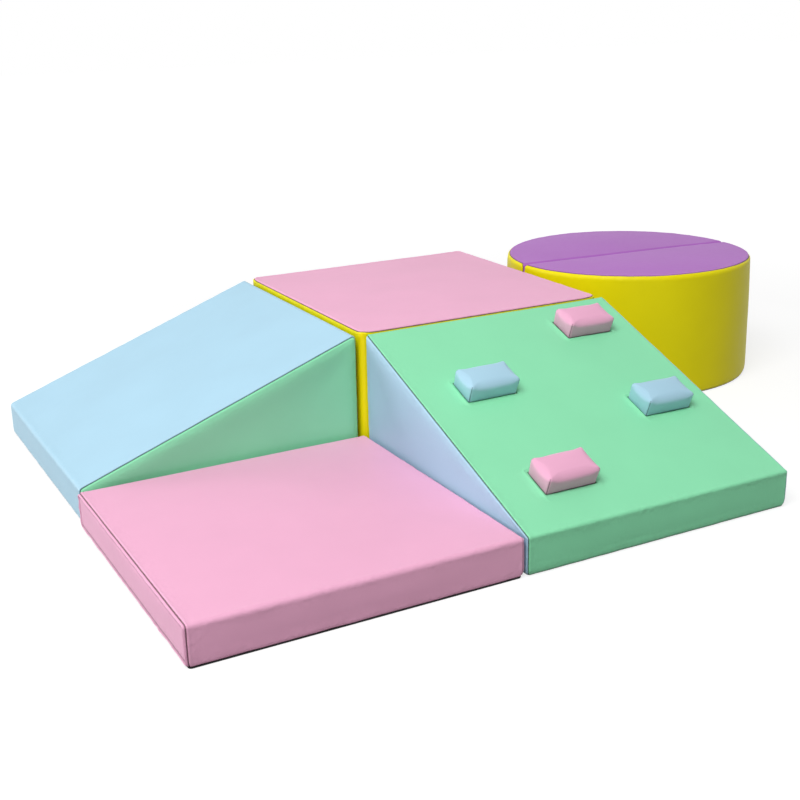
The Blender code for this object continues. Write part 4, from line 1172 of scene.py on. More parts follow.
LOOKS = {
    "base": lambda: dotted_base_cloth("dotted non-slip cloth"),
    "foam": lambda: open_cell_foam("cut polyurethane foam"),
    "tape": lambda: woven_tape("woven polyester zip tape", "242426"),
    "coil": lambda: moulded_nylon("drawn nylon coil", "303033", 0.45),
    "thread": lambda: moulded_nylon("twisted nylon thread", "3A3A3D", 0.6),
    "slider": lambda: plated_zinc("nickel-plated zinc"),
    "hook": lambda: pile_tape("woven nylon hook tape", "2B2B2E", 0.0016, 0.9),
    "loop": lambda: pile_tape("brushed nylon loop tape", "2E2E31", 0.0009, 0.5),
}
VINYL_COLOURS = ("light_blue", "mint_green", "pink", "yellow", "purple")
made_looks = {}


def look(name):
    """The material of this name, made once."""
    if name not in made_looks:
        if name in VINYL_COLOURS:
            colour = getattr(bpy.context.scene.climber_covers, name)
            made_looks[name] = coated_vinyl(f"{name.replace('_', ' ')} coated vinyl", colour)
        else:
            made_looks[name] = LOOKS[name]()
    return made_looks[name]


def footprint(name):
    """Where a block stands, and its width and length over its drawn-in foot, in its own frame."""
    low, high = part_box(f"{name}_base")
    middle = (low + high) / 2
    size = high - low + Vector((2, 2, 0)) * draw_at(BASE_THICKNESS) * SOLID_DRAW_IN / DRAW_IN
    turned = name == "slide_ramp"
    turn = -QUARTER_TURN if turned else 0
    matrix = Matrix.Translation((middle.x, middle.y, 0)) @ Matrix.Rotation(turn, 4, "Z")
    return matrix, *((size.y, size.x) if turned else (size.x, size.y))


def join_rings(bm, rings, material_index=0, looped=False):
    """Faces from each ring of points to the next, and on both ends unless the rings loop."""
    made = [[bm.verts.new(point) for point in ring] for ring in rings]
    faces = [] if looped else [made[0][::-1], made[-1]]
    for first, second in zip(made, made[1:] + made[:1] if looped else made[1:]):
        for at in range(len(first)):
            after = (at + 1) % len(first)
            faces.append((first[at], first[after], second[after], second[at]))
    for corners in faces:
        bm.faces.new(corners).material_index = material_index


def solid_from(rings):
    """A closed body of rings, with a face on each end."""
    bm = bmesh.new()
    join_rings(bm, rings)
    bmesh.ops.recalc_face_normals(bm, faces=bm.faces)
    return bm


def add_piece(name, bm, looks, matrix, body, node):
    """A piece whose mesh needs no more than shading."""
    thing = object_from(name, bm, [look(each) for each in looks], matrix)
    shade(thing.data)
    hand_over(thing, body, [node])
    return thing


def add_padding(name, bm, matrix, body, node):
    """A foam core: a skin with its open foot closed."""
    bmesh.ops.holes_fill(bm, edges=[edge for edge in bm.edges if edge.is_boundary])
    bmesh.ops.recalc_face_normals(bm, faces=bm.faces)
    thing = add_piece(name, bm, ("foam",), matrix, body, node)


def add_core(name, block, matrix):
    """The foam core, with its edges eased back behind the seams."""
    grids = [rows for made in block.panels().values() for rows in made]
    add_padding(f"{name}_padding", skin_of(block.form, grids), matrix, name, f"{name}_foam")


def add_base(name, block, matrix):
    """The non-slip base: a plate of board and dotted cloth with a turned edge.

    Where the cover reaches below its upper face, it lies inside the cover.
    """
    inside = SOLE_INSIDE if block.layer.bottom < BASE_THICKNESS else 0
    levels = (
        (SOLE_EASE, 0),
        (0, SOLE_EASE),
        (0, BASE_THICKNESS - SOLE_EASE),
        (SOLE_EASE, BASE_THICKNESS),
    )
    rings = []
    for inset, height in levels:
        line = lift(block.base_line(inside + inset), height)
        rings.append([block.form.soften(point) for point in line])
    add_piece(f"{name}_sole", solid_from(rings), ("base",), matrix, name, f"{name}_base")


class Zip:
    """A zip along a straight side of a block, just over its base. axis is 0 along X, 1 along Y."""

    middle = COVER_BOTTOM + ZIP_TAPE_HEIGHT / 2

    def __init__(self, form, axis, face, facing, side_length, slider_end):
        self.form = form
        self.axis = axis
        self.face = face
        self.facing = facing
        self.half_length = side_length / 2 - ZIP_END_MARGIN
        self.slider_end = slider_end

    def place(self, travel, out, height):
        """A point this far along the zip and out of its side. The zip's ends stand upright."""
        plain = Vector((0, 0, height))
        plain[self.axis] = travel
        plain[1 - self.axis] = self.face + self.facing * out
        place = self.form.soften(plain)
        place[self.axis] = travel
        return place

    def cutter(self):
        """A body that cuts the zip's opening out of the foot of the panel over it."""
        top = COVER_BOTTOM + ZIP_TAPE_HEIGHT + ZIP_CLEARANCE
        levels = (-CUT_REACH, COVER_BOTTOM, self.middle, top)
        section = [(-CUT_REACH, level) for level in levels]
        section += [(CUT_REACH, level) for level in reversed(levels)]
        half = self.half_length + ZIP_CLEARANCE
        travels = spread(-half, half, CUT_STEPS)
        rings = [[self.place(travel, *point) for point in section] for travel in travels]
        return object_from("zip_opening", solid_from(rings), [], Matrix.Identity(4))

    def frame_at(self, travel, end):
        """A frame on the coil: X along the zip towards an end, Z square out of the side."""
        seat = self.place(travel, -ZIP_TAPE_RECESS, self.middle)
        above = self.place(travel, 0, self.middle + ZIP_COIL_HEIGHT)
        below = self.place(travel, 0, self.middle - ZIP_COIL_HEIGHT)
        up = (above - below).normalized()
        ahead = Vector((0, 0, 0))
        ahead[self.axis] = end
        out = ahead.cross(up)
        if out.dot(above - self.form.middle) < 0:
            out = -out
        turn = Matrix((ahead, out.cross(ahead), out)).transposed()
        return Matrix.Translation(seat) @ turn.to_4x4()

    def slider_frame(self):
        return self.frame_at(self.slider_end * (self.half_length - PULL_LENGTH), self.slider_end)


def add_tooth(bm, matrix, length, height, material_index):
    """One turn of the coil, or a stop: a bar with eased upper edges."""
    proud = ZIP_COIL_PROUD + ZIP_TAPE_RECESS
    rings = []
    for share, level in ((1, 0), (1, proud * 0.55), (0.62, proud)):
        half_x, half_y = length / 2 * share, height / 2 * (1 - (1 - share) * 0.4)
        ring = ((half_x, half_y), (-half_x, half_y), (-half_x, -half_y), (half_x, -half_y))
        rings.append([matrix @ Vector((x, y, level)) for x, y in ring])
    join_rings(bm, rings, material_index)


def add_zip(name, run, matrix):
    """The zip's two woven tapes, its coil and the stops at its ends."""
    bm = bmesh.new()
    outer = -ZIP_TAPE_RECESS
    inner = outer - ZIP_TAPE_THICKNESS
    high = COVER_BOTTOM + ZIP_TAPE_HEIGHT
    end = run.half_length
    travels = spread(-end, end, ZIP_TAPE_STEPS)
    for low, top in ((COVER_BOTTOM, run.middle - ZIP_SLIT), (run.middle + ZIP_SLIT, high)):
        middle = (low + top) / 2
        section = [(inner, low), (outer, low), (outer, middle), (outer, top), (inner, top)]
        join_rings(bm, [[run.place(travel, *point) for point in section] for travel in travels])
    bmesh.ops.recalc_face_normals(bm, faces=bm.faces)
    # The coil's turns stand by turns a little over and under the middle.
    count = round(2 * end / ZIP_COIL_PITCH)
    turns = spread(-end + ZIP_COIL_MARGIN, end - ZIP_COIL_MARGIN, count)
    for at, travel in enumerate(turns):
        side = ZIP_COIL_STAGGER if at % 2 else -ZIP_COIL_STAGGER
        seat = run.frame_at(travel, 1) @ Matrix.Translation((0, side, 0))
        add_tooth(bm, seat, ZIP_TURN_LENGTH, ZIP_COIL_HEIGHT - 2 * ZIP_COIL_STAGGER, 1)
    for side in (-1, 1):
        seat = run.frame_at(side * (end - ZIP_STOP_MARGIN), 1)
        add_tooth(bm, seat, ZIP_STOP_LENGTH, ZIP_COIL_HEIGHT, 2)
    looks = ("tape", "coil", "slider")
    add_piece(f"{name}_zip_chain", bm, looks, matrix, name, f"{name}_zip")


def slider_mesh():
    """A zip slider: a channel body with flared ends, a bridge, and a pull with an eye."""
    bm = bmesh.new()
    steepest = math.atan(2 * DRAW_IN / DRAW_HEIGHT)
    channel = ZIP_COIL_HEIGHT / 2 / math.cos(steepest) + ZIP_CLEARANCE
    wall, foot, ease = 0.0007, 0.0006, 0.0003
    top = ZIP_TAPE_RECESS + ZIP_COIL_PROUD + ZIP_CLEARANCE + wall
    rings = []
    # Along the body, and how far its walls flare there.
    for x, flare in ((-0.0045, -0.0002), (-0.003, 0), (0, 0), (0.003, 0.0004), (0.0045, 0.0004)):
        body = channel + wall + flare
        half = [(channel, top - wall), (channel, foot), (body, foot)]
        half += [(body, top - ease), (body - ease, top)]
        section = half + [(-y, z) for y, z in reversed(half)]
        rings.append([Vector((x, y, z)) for y, z in section])
    join_rings(bm, rings)
    sunk = 0.0001
    seats = [Vector((x, 0, top - sunk)) for x in (0.0022, -0.0022)]
    add_loop_bar(bm, *seats, rise=0.0011, radius=0.0005)
    add_pull(bm, start=-0.0135, end=0.0012, width=0.0045, low=top + 0.0001, high=top + 0.0008)
    bmesh.ops.recalc_face_normals(bm, faces=bm.faces)
    return bm


def add_loop_bar(bm, start, end, rise, radius):
    """A round bar that arches from one seat to another."""
    side = Vector((0, 1, 0))
    turns = spread(0, math.tau, 8)[:-1]
    rings = []
    for angle in spread(0, math.pi, 8):
        share = (1 - math.cos(angle)) / 2
        centre = start.lerp(end, share) + Vector((0, 0, rise * math.sin(angle)))
        tangent = (end - start).normalized() * math.sin(angle) + Vector((0, 0, math.cos(angle)))
        normal = tangent.cross(side).normalized()
        rays = (side * math.cos(turn) + normal * math.sin(turn) for turn in turns)
        rings.append([centre + radius * ray for ray in rays])
    join_rings(bm, rings)


def add_pull(bm, start, end, width, low, high):
    """A flat pull with rounded ends and one long eye."""
    half, corners = width / 2, 6
    end_rim, side_rim = 0.0012, 0.0011
    outer = []
    for x, side in ((end - half, 1), (start + half, -1)):
        for angle in spread(-QUARTER_TURN, QUARTER_TURN, corners):
            outer.append((x + side * half * math.cos(angle), side * half * math.sin(angle)))
    middle, reach = (start + end) / 2, (end - start) / 2
    inner = []
    for x, y in outer:
        along = middle + (x - middle) * (reach - end_rim) / reach
        inner.append((along, y * (half - side_rim) / half))
    outlines = ((outer, low), (outer, high), (inner, high), (inner, low))
    join_rings(bm, [[(*point, z) for point in outline] for outline, z in outlines], looped=True)


def add_slider(name, run, matrix):
    seat = matrix @ run.slider_frame()
    node = f"{name}_zip_slider"
    body = f"{name}_zip_pull"
    add_piece(f"{node}_and_pull", slider_mesh(), ("slider",), seat, body, node)


def add_panel(name, node, body, grids, form, colour, sewing, cutter=None):
    """One cover panel: sewn at its edges, folded in behind its seams and given its thickness."""
    bm = skin_of(form, grids)
    face_outwards(bm, form.middle)
    sewing.apply(bm)
    fold_allowance(bm)
    face_outwards(bm, form.middle)
    thing = object_from(name, bm, [look(colour)], sewing.matrix)
    if cutter:
        cutter.matrix_world = sewing.matrix
    make_shell(thing, cutter)
    hand_over(thing, body, [node])


def add_insides(name, core, cover, run, matrix):
    add_core(name, core, matrix)
    add_base(name, cover, matrix)
    add_zip(name, run, matrix)
    add_slider(name, run, matrix)


def lip_distance(form, place):
    """How far a point is from the fold at a ramp's low end."""
    return math.hypot(place.y + form.half_y, place.z - form.low)


def make_wrapped(scene, name, form, radii, holds=()):
    """A ramp or mat: its wrap, its two side panels, its core and its fittings."""
    covers = scene.climber_covers
    style = WRAPPINGS[name]
    matrix = footprint(name)[0]
    layer = WELTED_COVER if style.welt else COVER
    cross_lines = sorted({line for hold in holds for line in hold.cross_lines()})
    slope_lines = sorted({line for hold in holds for line in hold.slope_lines()})
    block = WrappedBlock(form, layer, *radii, cross_lines, slope_lines)
    panels = block.panels()

    def wrap_shape(place):
        near = lip_distance(form, place)
        broad = noise.noise(Vector((place.x / LIP_WAVE_LENGTH, 2.5, 0.5)))
        fine = noise.noise(Vector((place.x / LIP_FINE_LENGTH, 7, 2)))
        lifted = covers.lip_wave * (broad + 0.5 * fine) * bump(near, LIP_WAVE_REACH)
        lifted += covers.lip_ridge * bump(near, LIP_RIDGE_REACH)
        return lifted + sum(hold.ruffle(place) for hold in holds)

    # Painted shade in the seams round the holds' feet
    def wrap_shade(place):
        return max((hold.painted_shade(place) for hold in holds), default=0)

    def wrap_gathers(place):
        return 0.8 * bump(lip_distance(form, place), LIP_GATHER_REACH)

    sewing = Sewing(covers, matrix, own=(wrap_shape, wrap_shade, wrap_gathers))
    node = f"{name}_wrap"
    add_panel(f"{node}_cloth", node, name, panels["wrap"], form, style.wrap_colour, sewing)
    zip_side = 1 if style.sides[1] == "right" else -1
    run = Zip(form, 1, zip_side * form.half_x, zip_side, 2 * form.half_y, 1)
    sides = zip(("left", "right"), (-1, 1), style.sides, style.shoulders)
    for key, side, side_name, shoulder in sides:
        node = f"{name}_{side_name}_side_panel"
        cutter = run.cutter() if side == zip_side else None
        sewing = Sewing(covers, matrix, shoulder, style.welt)
        colour = style.side_colour
        add_panel(f"{node}_cloth", node, name, panels[key], form, colour, sewing, cutter)
    add_insides(name, WrappedBlock(form, CORE, *radii), block, run, matrix)


class Hold:
    """A padded climbing hold on the climbing ramp, in the ramp's frame."""

    line_steps = (-0.003, 0, 0.0014, 0.0028, 0.0042, 0.0056, 0.0072, 0.0095, 0.014)
    corner_shares = (0, 0.2, 0.5, 1)
    side_steps = (22, 12, 22, 12)
    up_shares = (0, 0.1, 0.3, 0.5, 0.7, 0.87, 1, 1.16, 1.33, 1.5, 1.67, 1.84, 2)

    # On the ramp's cover, from the hold's foot outwards: a dip, a ridge and a slow pull
    slope_reach = 0.02
    ruffle_reach = (-0.01, 0.06)
    ruffle_length = 0.018
    dip_depth = 0.0010
    dip_width = 0.0020
    ridge = (0.0078, 0.0021)
    ridge_height = 0.0015
    ridge_free = 0.0019
    ridge_wave = 0.0009
    pull_depth = 0.0009
    pull_reach = 0.02
    # How wide the painted shade in the seam round the foot is
    foot_shade_width = 0.0016

    # On the hold itself: the dip in its sewn corners, the painted shade and the gathers beside them
    corner_steps = 40
    sewn_dip = 0.0012
    sewn_width = 0.0013
    corner_shade_width = 0.0011
    own_foot_shade_width = 0.0012
    gather_length = 0.012
    gather_height = 0.0005
    gather_reach = 0.008

    # The cover's foot lies below the slope and its foam's above, and the foam is this deep inside
    cover_foot = -0.0016
    foam_foot = 0.001
    foam_depth = 0.0028
    # What the cloth simulation holds still: the foot up to here, and this near the sewn corners
    held_height = 0.001
    held_width = 0.002
    held_least = 0.05
    held_corner = 0.9

    def __init__(self, settings, form, from_left, from_crest):
        self.settings = settings
        slope = math.atan2(form.high - form.low, 2 * form.half_y)
        self.form = form
        self.from_crest = from_crest
        self.across = from_left - form.half_x
        self.down = Vector((0, -math.cos(slope), -math.sin(slope)))
        self.out = Vector((0, -math.sin(slope), math.cos(slope)))
        self.foot = Vector((self.across, form.half_y, form.high)) + self.down * from_crest

    def lines_beside(self, middle, half):
        return [middle + side * (half + step) for side in (-1, 1) for step in self.line_steps]

    def cross_lines(self):
        """Where the ramp's cover needs rows beside the hold, across the ramp."""
        return self.lines_beside(self.across, self.settings.length / 2)

    def slope_lines(self):
        """The same down the slope."""
        return self.lines_beside(self.from_crest, self.settings.depth / 2)

    def place(self, across, along, out):
        """A point of the hold, softened with the slope that it is sewn to."""
        plain = self.foot + Vector((across, 0, 0)) + self.down * along + self.out * out
        return self.form.soften(plain)

    def foot_distance(self, place):
        """How far outside the hold's foot a point of the ramp's cover lies: below 0 is under it."""
        offset = place - self.foot
        if abs(offset.dot(self.out)) > self.slope_reach:
            return math.inf
        beyond_x = abs(offset.x) - self.settings.length / 2
        beyond_y = abs(offset.dot(self.down)) - self.settings.depth / 2
        return math.hypot(max(beyond_x, 0), max(beyond_y, 0)) or max(beyond_x, beyond_y)

    def painted_shade(self, place):
        """How deep in the seam round the foot a point of the ramp's cover lies, up to 1: the painted
        shade there.
        """
        return bump(max(0, min(self.foot_distance(place), 1)), self.foot_shade_width)

    def ruffle(self, place):
        """How the ramp's cover dips and gathers where the hold is sewn down."""
        distance = self.foot_distance(place)
        nearest, farthest = self.ruffle_reach
        if distance < nearest or distance > farthest:
            return 0
        offset = place - self.foot
        along = offset.dot(self.down)
        shift = Vector((self.from_crest * 40, 0, 0))
        around = noise.noise(Vector((offset.x, along, 0)) / self.ruffle_length + shift)
        # The cover stands up most on the side away from the padding's pull, down and to the left.
        facing = (0.6 * along / self.settings.depth - 0.8 * offset.x / self.settings.length) * 2
        free = max(0, min(1, facing))
        height = self.ridge_height + self.ridge_free * free + self.ridge_wave * around
        dip = -self.dip_depth * bump(distance, self.dip_width)
        ridge = height * along_seam(distance, self.ridge)
        pull = -self.pull_depth * math.exp(-max(distance, 0) / self.pull_reach) * (0.4 + around)
        return dip + ridge + pull

    def outline(self):
        """The hold's plan in four sides, each from the middle of a corner to the next."""
        half_x, half_y = self.settings.length / 2, self.settings.depth / 2
        shares = self.corner_shares
        sides = []
        for quarter, steps in enumerate(self.side_steps):
            place = (half_x, half_y, self.settings.corner_radius, 0)
            first = rounded_corner(*place, quarter, (0.5, 1), shares)
            last = rounded_corner(*place, quarter + 1, (0, 0.5), backwards(shares))
            sides.append(first + between(first[-1], last[0], spread(0, 1, steps))[1:-1] + last)
        return sides

    def corner_share(self, point):
        """How close a point of the plan lies to a sewn corner, up to 1."""
        settings = self.settings
        corner = math.hypot(settings.length / 2 - abs(point.x), settings.depth / 2 - abs(point.y))
        return bump(corner, settings.corner_reach)

    def edge_at(self, point):
        """The radius of the upper edge over a point of the plan: smaller beside a sewn corner."""
        plain, sewn = self.settings.edge_radius, self.settings.corner_edge
        return plain + (sewn - plain) * self.corner_share(point)

    def side_point(self, point, share, depth, bottom):
        """A point up the side: share is 0 at the foot, 1 at the shoulder and 2 on the top."""
        settings = self.settings
        edge = self.edge_at(point)
        shoulder = settings.height - edge
        angle = QUARTER_TURN * max(0, share - 1)
        radius = max(edge - depth, MIN_FOLD_RADIUS)
        inset = depth + radius * (1 - math.cos(angle))
        corner = self.corner_share(point)
        middle = 1 - (4 * point.x * point.y / (settings.length * settings.depth)) ** 2
        inset -= settings.side_bulge * middle * math.sin(math.pi * share / 2)
        inset -= settings.corner_flare * corner * bump(share - 1, 0.6)
        out = bottom + (shoulder - bottom) * min(share, 1) + radius * math.sin(angle)
        half_x, half_y = settings.length / 2, settings.depth / 2
        # Plan Y points up the slope, and along runs down it.
        across, along = point.x * (half_x - inset) / half_x, -point.y * (half_y - inset) / half_y
        return self.place(across, along, out)

    def skin(self, depth, bottom):
        """The hold's sides and top, as an open skin."""
        outline = self.outline()
        bm = bmesh.new()
        rows = []
        for share in self.up_shares:
            sides = []
            for side in outline:
                sides.append([self.side_point(point, share, depth, bottom) for point in side])
            rows.append([point for side in sides for point in side[:-1]] + sides[0][:1])
        grid_faces(bm, rows)
        back, left, front, right = sides
        grid_faces(bm, patch(front, back[::-1], left[::-1], right))
        bmesh.ops.remove_doubles(bm, verts=bm.verts, dist=MERGE_DISTANCE)
        return bm

    def crown(self, bm):
        """Domes the top, and draws the sides up with it."""
        for vert in bm.verts:
            offset = vert.co - self.foot
            along, out = offset.dot(self.down), offset.dot(self.out)
            u, v = 2 * offset.x / self.settings.length, 2 * along / self.settings.depth
            rise = self.settings.crown * max(0, 1 - u**2) * max(0, 1 - v**2)
            vert.co += self.out * rise * out / self.settings.height

    def corner_lines(self):
        """The four sewn corners, from the foot to the top."""
        settings = self.settings
        half_x = settings.length / 2 - settings.corner_radius * (1 - math.sqrt(0.5))
        half_y = settings.depth / 2 - settings.corner_radius * (1 - math.sqrt(0.5))
        lines = []
        for side_x in (-1, 1):
            for side_y in (-1, 1):
                for out in spread(0, settings.height - settings.corner_edge / 2, self.corner_steps):
                    inset = max(0, out - (settings.height - settings.corner_edge)) / 2
                    inset -= settings.corner_flare * bump(out / settings.height - 1, 0.5)
                    across, along = side_x * (half_x - inset), side_y * (half_y - inset)
                    lines.append(self.place(across, along, out))
        return lines

    def sew_corners(self, mesh):
        """Dips the cloth into the sewn corners, and marks how near each point is to a seam, for the
        painted shade there.
        """
        tree = search_tree(self.corner_lines())
        bm = bmesh.new()
        bm.from_mesh(mesh)
        bm.normal_update()
        nearness = bm.verts.layers.float.new("seam_nearness")
        for vert in bm.verts:
            distance = tree.find(vert.co)[2]
            foot = (vert.co - self.foot).dot(self.out)
            wave = noise.noise((vert.co + self.foot * 3) / self.gather_length)
            gathers = wave * self.gather_height * math.exp(-distance / self.gather_reach)
            dip = self.sewn_dip * bump(distance, self.sewn_width)
            at_corner = bump(distance, self.corner_shade_width)
            vert[nearness] = max(at_corner, bump(foot, self.own_foot_shade_width))
            vert.co += vert.normal * (gathers - dip)
        bm.to_mesh(mesh)
        bm.free()


def swell(thing, pinned, most):
    """Lets the padding push the cloth out, with cloth simulation, up to a most distance."""
    scene = bpy.context.scene
    rest = [vert.co.copy() for vert in thing.data.vertices]
    group = thing.vertex_groups.new(name="sewn")
    for index, weight in pinned.items():
        group.add([index], weight, "REPLACE")
    cloth = thing.modifiers.new("padding pressure", "CLOTH")
    cloth.settings.use_pressure = True
    cloth.settings.uniform_pressure_force = 4
    cloth.settings.vertex_group_mass = "sewn"
    cloth.settings.effector_weights.gravity = 0
    cloth.settings.tension_stiffness = 25
    cloth.settings.compression_stiffness = 25
    cloth.settings.bending_stiffness = 2
    cloth.point_cache.frame_start = 1
    cloth.point_cache.frame_end = SWELL_FRAMES
    for step in range(1, SWELL_FRAMES + 1):
        scene.frame_set(step)
    settle(thing)
    scene.frame_set(1)
    thing.vertex_groups.clear()
    for vert, start in zip(thing.data.vertices, rest):
        move = vert.co - start
        if move.length > most:
            vert.co = start + move.normalized() * most


def hold_list(scene, form):
    """The four holds, from the top of the ramp down."""
    settings = scene.climber_holds
    holds = []
    for row in range(4):
        from_left = settings.left_column + (settings.column_spacing if row % 2 == 0 else 0)
        from_crest = settings.first_row + settings.row_spacing * row
        holds.append(Hold(settings, form, from_left, from_crest))
    return holds


def climbing_form(scene):
    blocks = scene.climber_blocks
    _, width, length = footprint("climbing_ramp")
    return BoxForm(width, length, blocks.climb_height, blocks.ramp_lip, blocks.ramp_crown)


def make_hold(hold, name, colour, matrix):
    """A hold's cover, which its padding pushes out, and its foam pad."""
    bm = hold.skin(0, hold.cover_foot)
    hold.crown(bm)
    face_outwards(bm, hold.place(0, 0, hold.settings.height / 2))
    lines = search_tree(hold.corner_lines())
    bm.verts.index_update()
    pinned = {}
    for vert in bm.verts:
        out = (vert.co - hold.foot).dot(hold.out)
        if vert.is_boundary or out < hold.held_height:
            pinned[vert.index] = 1.0
        else:
            corner = bump(lines.find(vert.co)[2], hold.held_width)
            if corner > hold.held_least:
                pinned[vert.index] = hold.held_corner * corner
    thing = object_from(f"{name}_cover_cloth", bm, [look(colour)], matrix)
    swell(thing, pinned, hold.settings.most_swell)
    rounder = thing.modifiers.new("smooth cloth", "SUBSURF")
    rounder.levels = rounder.render_levels = 1
    settle(thing)
    hold.sew_corners(thing.data)
    make_shell(thing)
    hand_over(thing, "climbing_ramp", [f"{name}_cover"])

    bm = hold.skin(hold.foam_depth, hold.foam_foot)
    hold.crown(bm)
    add_padding(f"{name}_padding", bm, matrix, "climbing_ramp", f"{name}_foam")


def add_stitch(bm, start, end, out):
    """One stitch: a short thread that dips into the cloth at its ends."""
    side = (end - start).normalized().cross(out) * THREAD_RADIUS
    up = out * THREAD_RADIUS
    rings = []
    for share, rise in ((0, -0.6), (0.25, 0.5), (0.75, 0.5), (1, -0.6)):
        centre = start.lerp(end, share) + up * rise
        rings.append([centre - up, centre - side, centre + up, centre + side])
    join_rings(bm, rings, 1)


def strip_size(node, matrix, along, out):
    """A strip's middle in its block's frame, and half its length, width and thickness.

    The strip's box lies along the world's axes and the strip may be turned in it, so its length
    and thickness are the two that fill the box at that turn.
    """
    low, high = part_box(node)
    reach = (high - low) / 2
    turn = matrix.to_3x3()
    long_x, long_y, _ = (abs(value) for value in turn @ along)
    thick_x, thick_y, _ = (abs(value) for value in turn @ out)
    share = long_x * thick_y - long_y * thick_x
    half_length = (reach.x * thick_y - reach.y * thick_x) / share
    half_thick = (reach.y * long_x - reach.x * long_y) / share
    return matrix.inverted() @ ((low + high) / 2), half_length, reach.z, half_thick


def add_strip(node, body, look_name, matrix, out):
    """A hook or loop strip: tape with rounded corners, sewn down round its edge."""
    out = Vector(out)
    along = Vector((0, 0, 1)).cross(out)
    middle, half_length, half_width, half_thick = strip_size(node, matrix, along, out)

    def place(x, z, level):
        return middle + along * x + Vector((0, 0, z)) + out * level

    ease = min(STRIP_EASE, half_thick / 2)
    rings = []
    for inset, level in ((0, -half_thick), (0, half_thick - ease), (ease, half_thick)):
        ring = rounded_ring(half_length, half_width, STRIP_CORNER, inset)
        rings.append([place(*point, level) for point in ring])
    bm = solid_from(rings)
    x, z = half_length - STITCH_MARGIN, half_width - STITCH_MARGIN
    path = [place(*point, half_thick) for point in ((-x, -z), (x, -z), (x, z), (-x, z), (-x, -z))]
    for start, end in zip(path, path[1:]):
        span = (end - start).length
        for at in range(int(span / (STITCH_LENGTH + STITCH_GAP))):
            first = start.lerp(end, (at * (STITCH_LENGTH + STITCH_GAP) + STITCH_GAP) / span)
            add_stitch(bm, first, first + (end - start) * (STITCH_LENGTH / span), out)
    looks = (look_name, "thread")
    add_piece(f"{node}_stitched", bm, looks, matrix, body, node)


def round_frames(scene):
    """The frames of the back and front halves of the round block."""
    blocks = scene.climber_blocks
    corners = [corner for half in ("back", "front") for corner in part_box(f"{half}_half_round_base")]
    low = [min(corner[axis] for corner in corners) for axis in (0, 1)]
    high = [max(corner[axis] for corner in corners) for axis in (0, 1)]
    middle = Vector(((low[0] + high[0]) / 2, (low[1] + high[1]) / 2, 0))
    frames = {}
    for name, turn in (("back", blocks.round_turn), ("front", blocks.round_turn + math.pi)):
        apart = Vector((-math.sin(turn), math.cos(turn), 0)) * (blocks.half_gap / 2)
        frames[name] = Matrix.Translation(middle + apart) @ Matrix.Rotation(turn, 4, "Z")
    return frames


def make_platform(scene):
    blocks = scene.climber_blocks
    name = "platform_block"
    matrix, width, depth = footprint(name)
    height = blocks.platform_height
    form = BoxForm(width, depth, height, height, blocks.platform_crown)
    block = BoxedBlock(form, COVER, blocks.post_radius)
    panels = block.panels()
    run = Zip(form, 0, form.half_y, 1, width, -1)
    sewing = Sewing(scene.climber_covers, matrix)
    for key, node, colour, cutter in (
        ("top", f"{name}_top_panel", "pink", None),
        ("boxing", f"{name}_boxing", "yellow", None),
        ("back", f"{name}_back_panel", "yellow", run.cutter()),
    ):
        cloth = f"{name}_{key}_cloth"
        add_panel(cloth, node, name, panels[key], form, colour, sewing, cutter)
    add_insides(name, BoxedBlock(form, CORE, blocks.post_radius), block, run, matrix)


def make_half_round(scene, half):
    blocks = scene.climber_blocks
    name = f"{half}_half_round"
    matrix = round_frames(scene)[half]
    size = (blocks.round_radius, blocks.round_height, blocks.round_crown)
    form = HalfRoundForm(*size, HALF_ROUND_RIM_LIFTS[half], blocks.round_lean)
    rises = HALF_ROUND_RISES[half]
    block = HalfRoundBlock(form, COVER._replace(edge_radius=blocks.round_edge), rises)
    panels = block.panels()
    run = Zip(form, 0, 0, -1, 2 * block.edge_x, 1)
    sewing = Sewing(scene.climber_covers, matrix)
    for key, colour, cutter in (("wrap", "purple", run.cutter()), ("boxing", "yellow", None)):
        node = f"{name}_{key}"
        add_panel(f"{node}_cloth", node, name, panels[key], form, colour, sewing, cutter)
    core = CORE._replace(edge_radius=blocks.round_edge + ROUND_CORE_EASE)
    add_insides(name, HalfRoundBlock(form, core, rises), block, run, matrix)


def camera_matrix(settings):
    azimuth, tilt, roll = settings.camera_azimuth, settings.camera_elevation, settings.camera_roll
    back = Vector((
        math.sin(azimuth) * math.cos(tilt),
        -math.cos(azimuth) * math.cos(tilt),
        math.sin(tilt),
    ))
    level = Vector((0, 0, 1)).cross(back).normalized()
    up = back.cross(level)
    right = level * math.cos(roll) + up * math.sin(roll)
    above = up * math.cos(roll) - level * math.sin(roll)
    turn = Matrix((right, above, back)).transposed().to_4x4()
    return Matrix.Translation(settings.camera_place) @ turn


def add_camera(scene):
    settings = scene.climber_stage
    data = bpy.data.cameras.new("camera")
    data.sensor_width = 36
    data.lens = settings.focal_length
    data.clip_start = 0.05
    camera = bpy.data.objects.new("camera", data)
    camera.matrix_world = camera_matrix(settings)
    scene.collection.objects.link(camera)
    scene.camera = camera


def add_softbox(scene, name, power, size, place):
    data = bpy.data.lights.new(name, "AREA")
    data.energy = power
    data.shape = "SQUARE"
    data.size = size
    box = bpy.data.objects.new(name, data)
    box.location = place
    box.rotation_mode = "QUATERNION"
    box.rotation_quaternion = (-box.location).to_track_quat("-Z", "Y")
    scene.collection.objects.link(box)


def add_lights(scene):
    """The softboxes, and even light all round."""
    settings = scene.climber_stage
    for name, (size, place) in SOFTBOXES.items():
        add_softbox(scene, f"{name}_softbox", getattr(settings, name), size, place)

    world = bpy.data.worlds.new("studio")
    scene.world = world
    world.use_nodes = True
    tree = world.node_tree
    tree.nodes.clear()
    brightness = {"To Min": settings.ambient, "To Max": 1.0}
    strength = add_node(tree, "MapRange", brightness, {"Value": seen_rays(tree)})
    white = {"Color": (1, 1, 1, 1)}
    light = add_node(tree, "Background", white, {"Strength": strength["Result"]})
    add_node(tree, "OutputWorld", {}, {"Surface": light["Background"]})


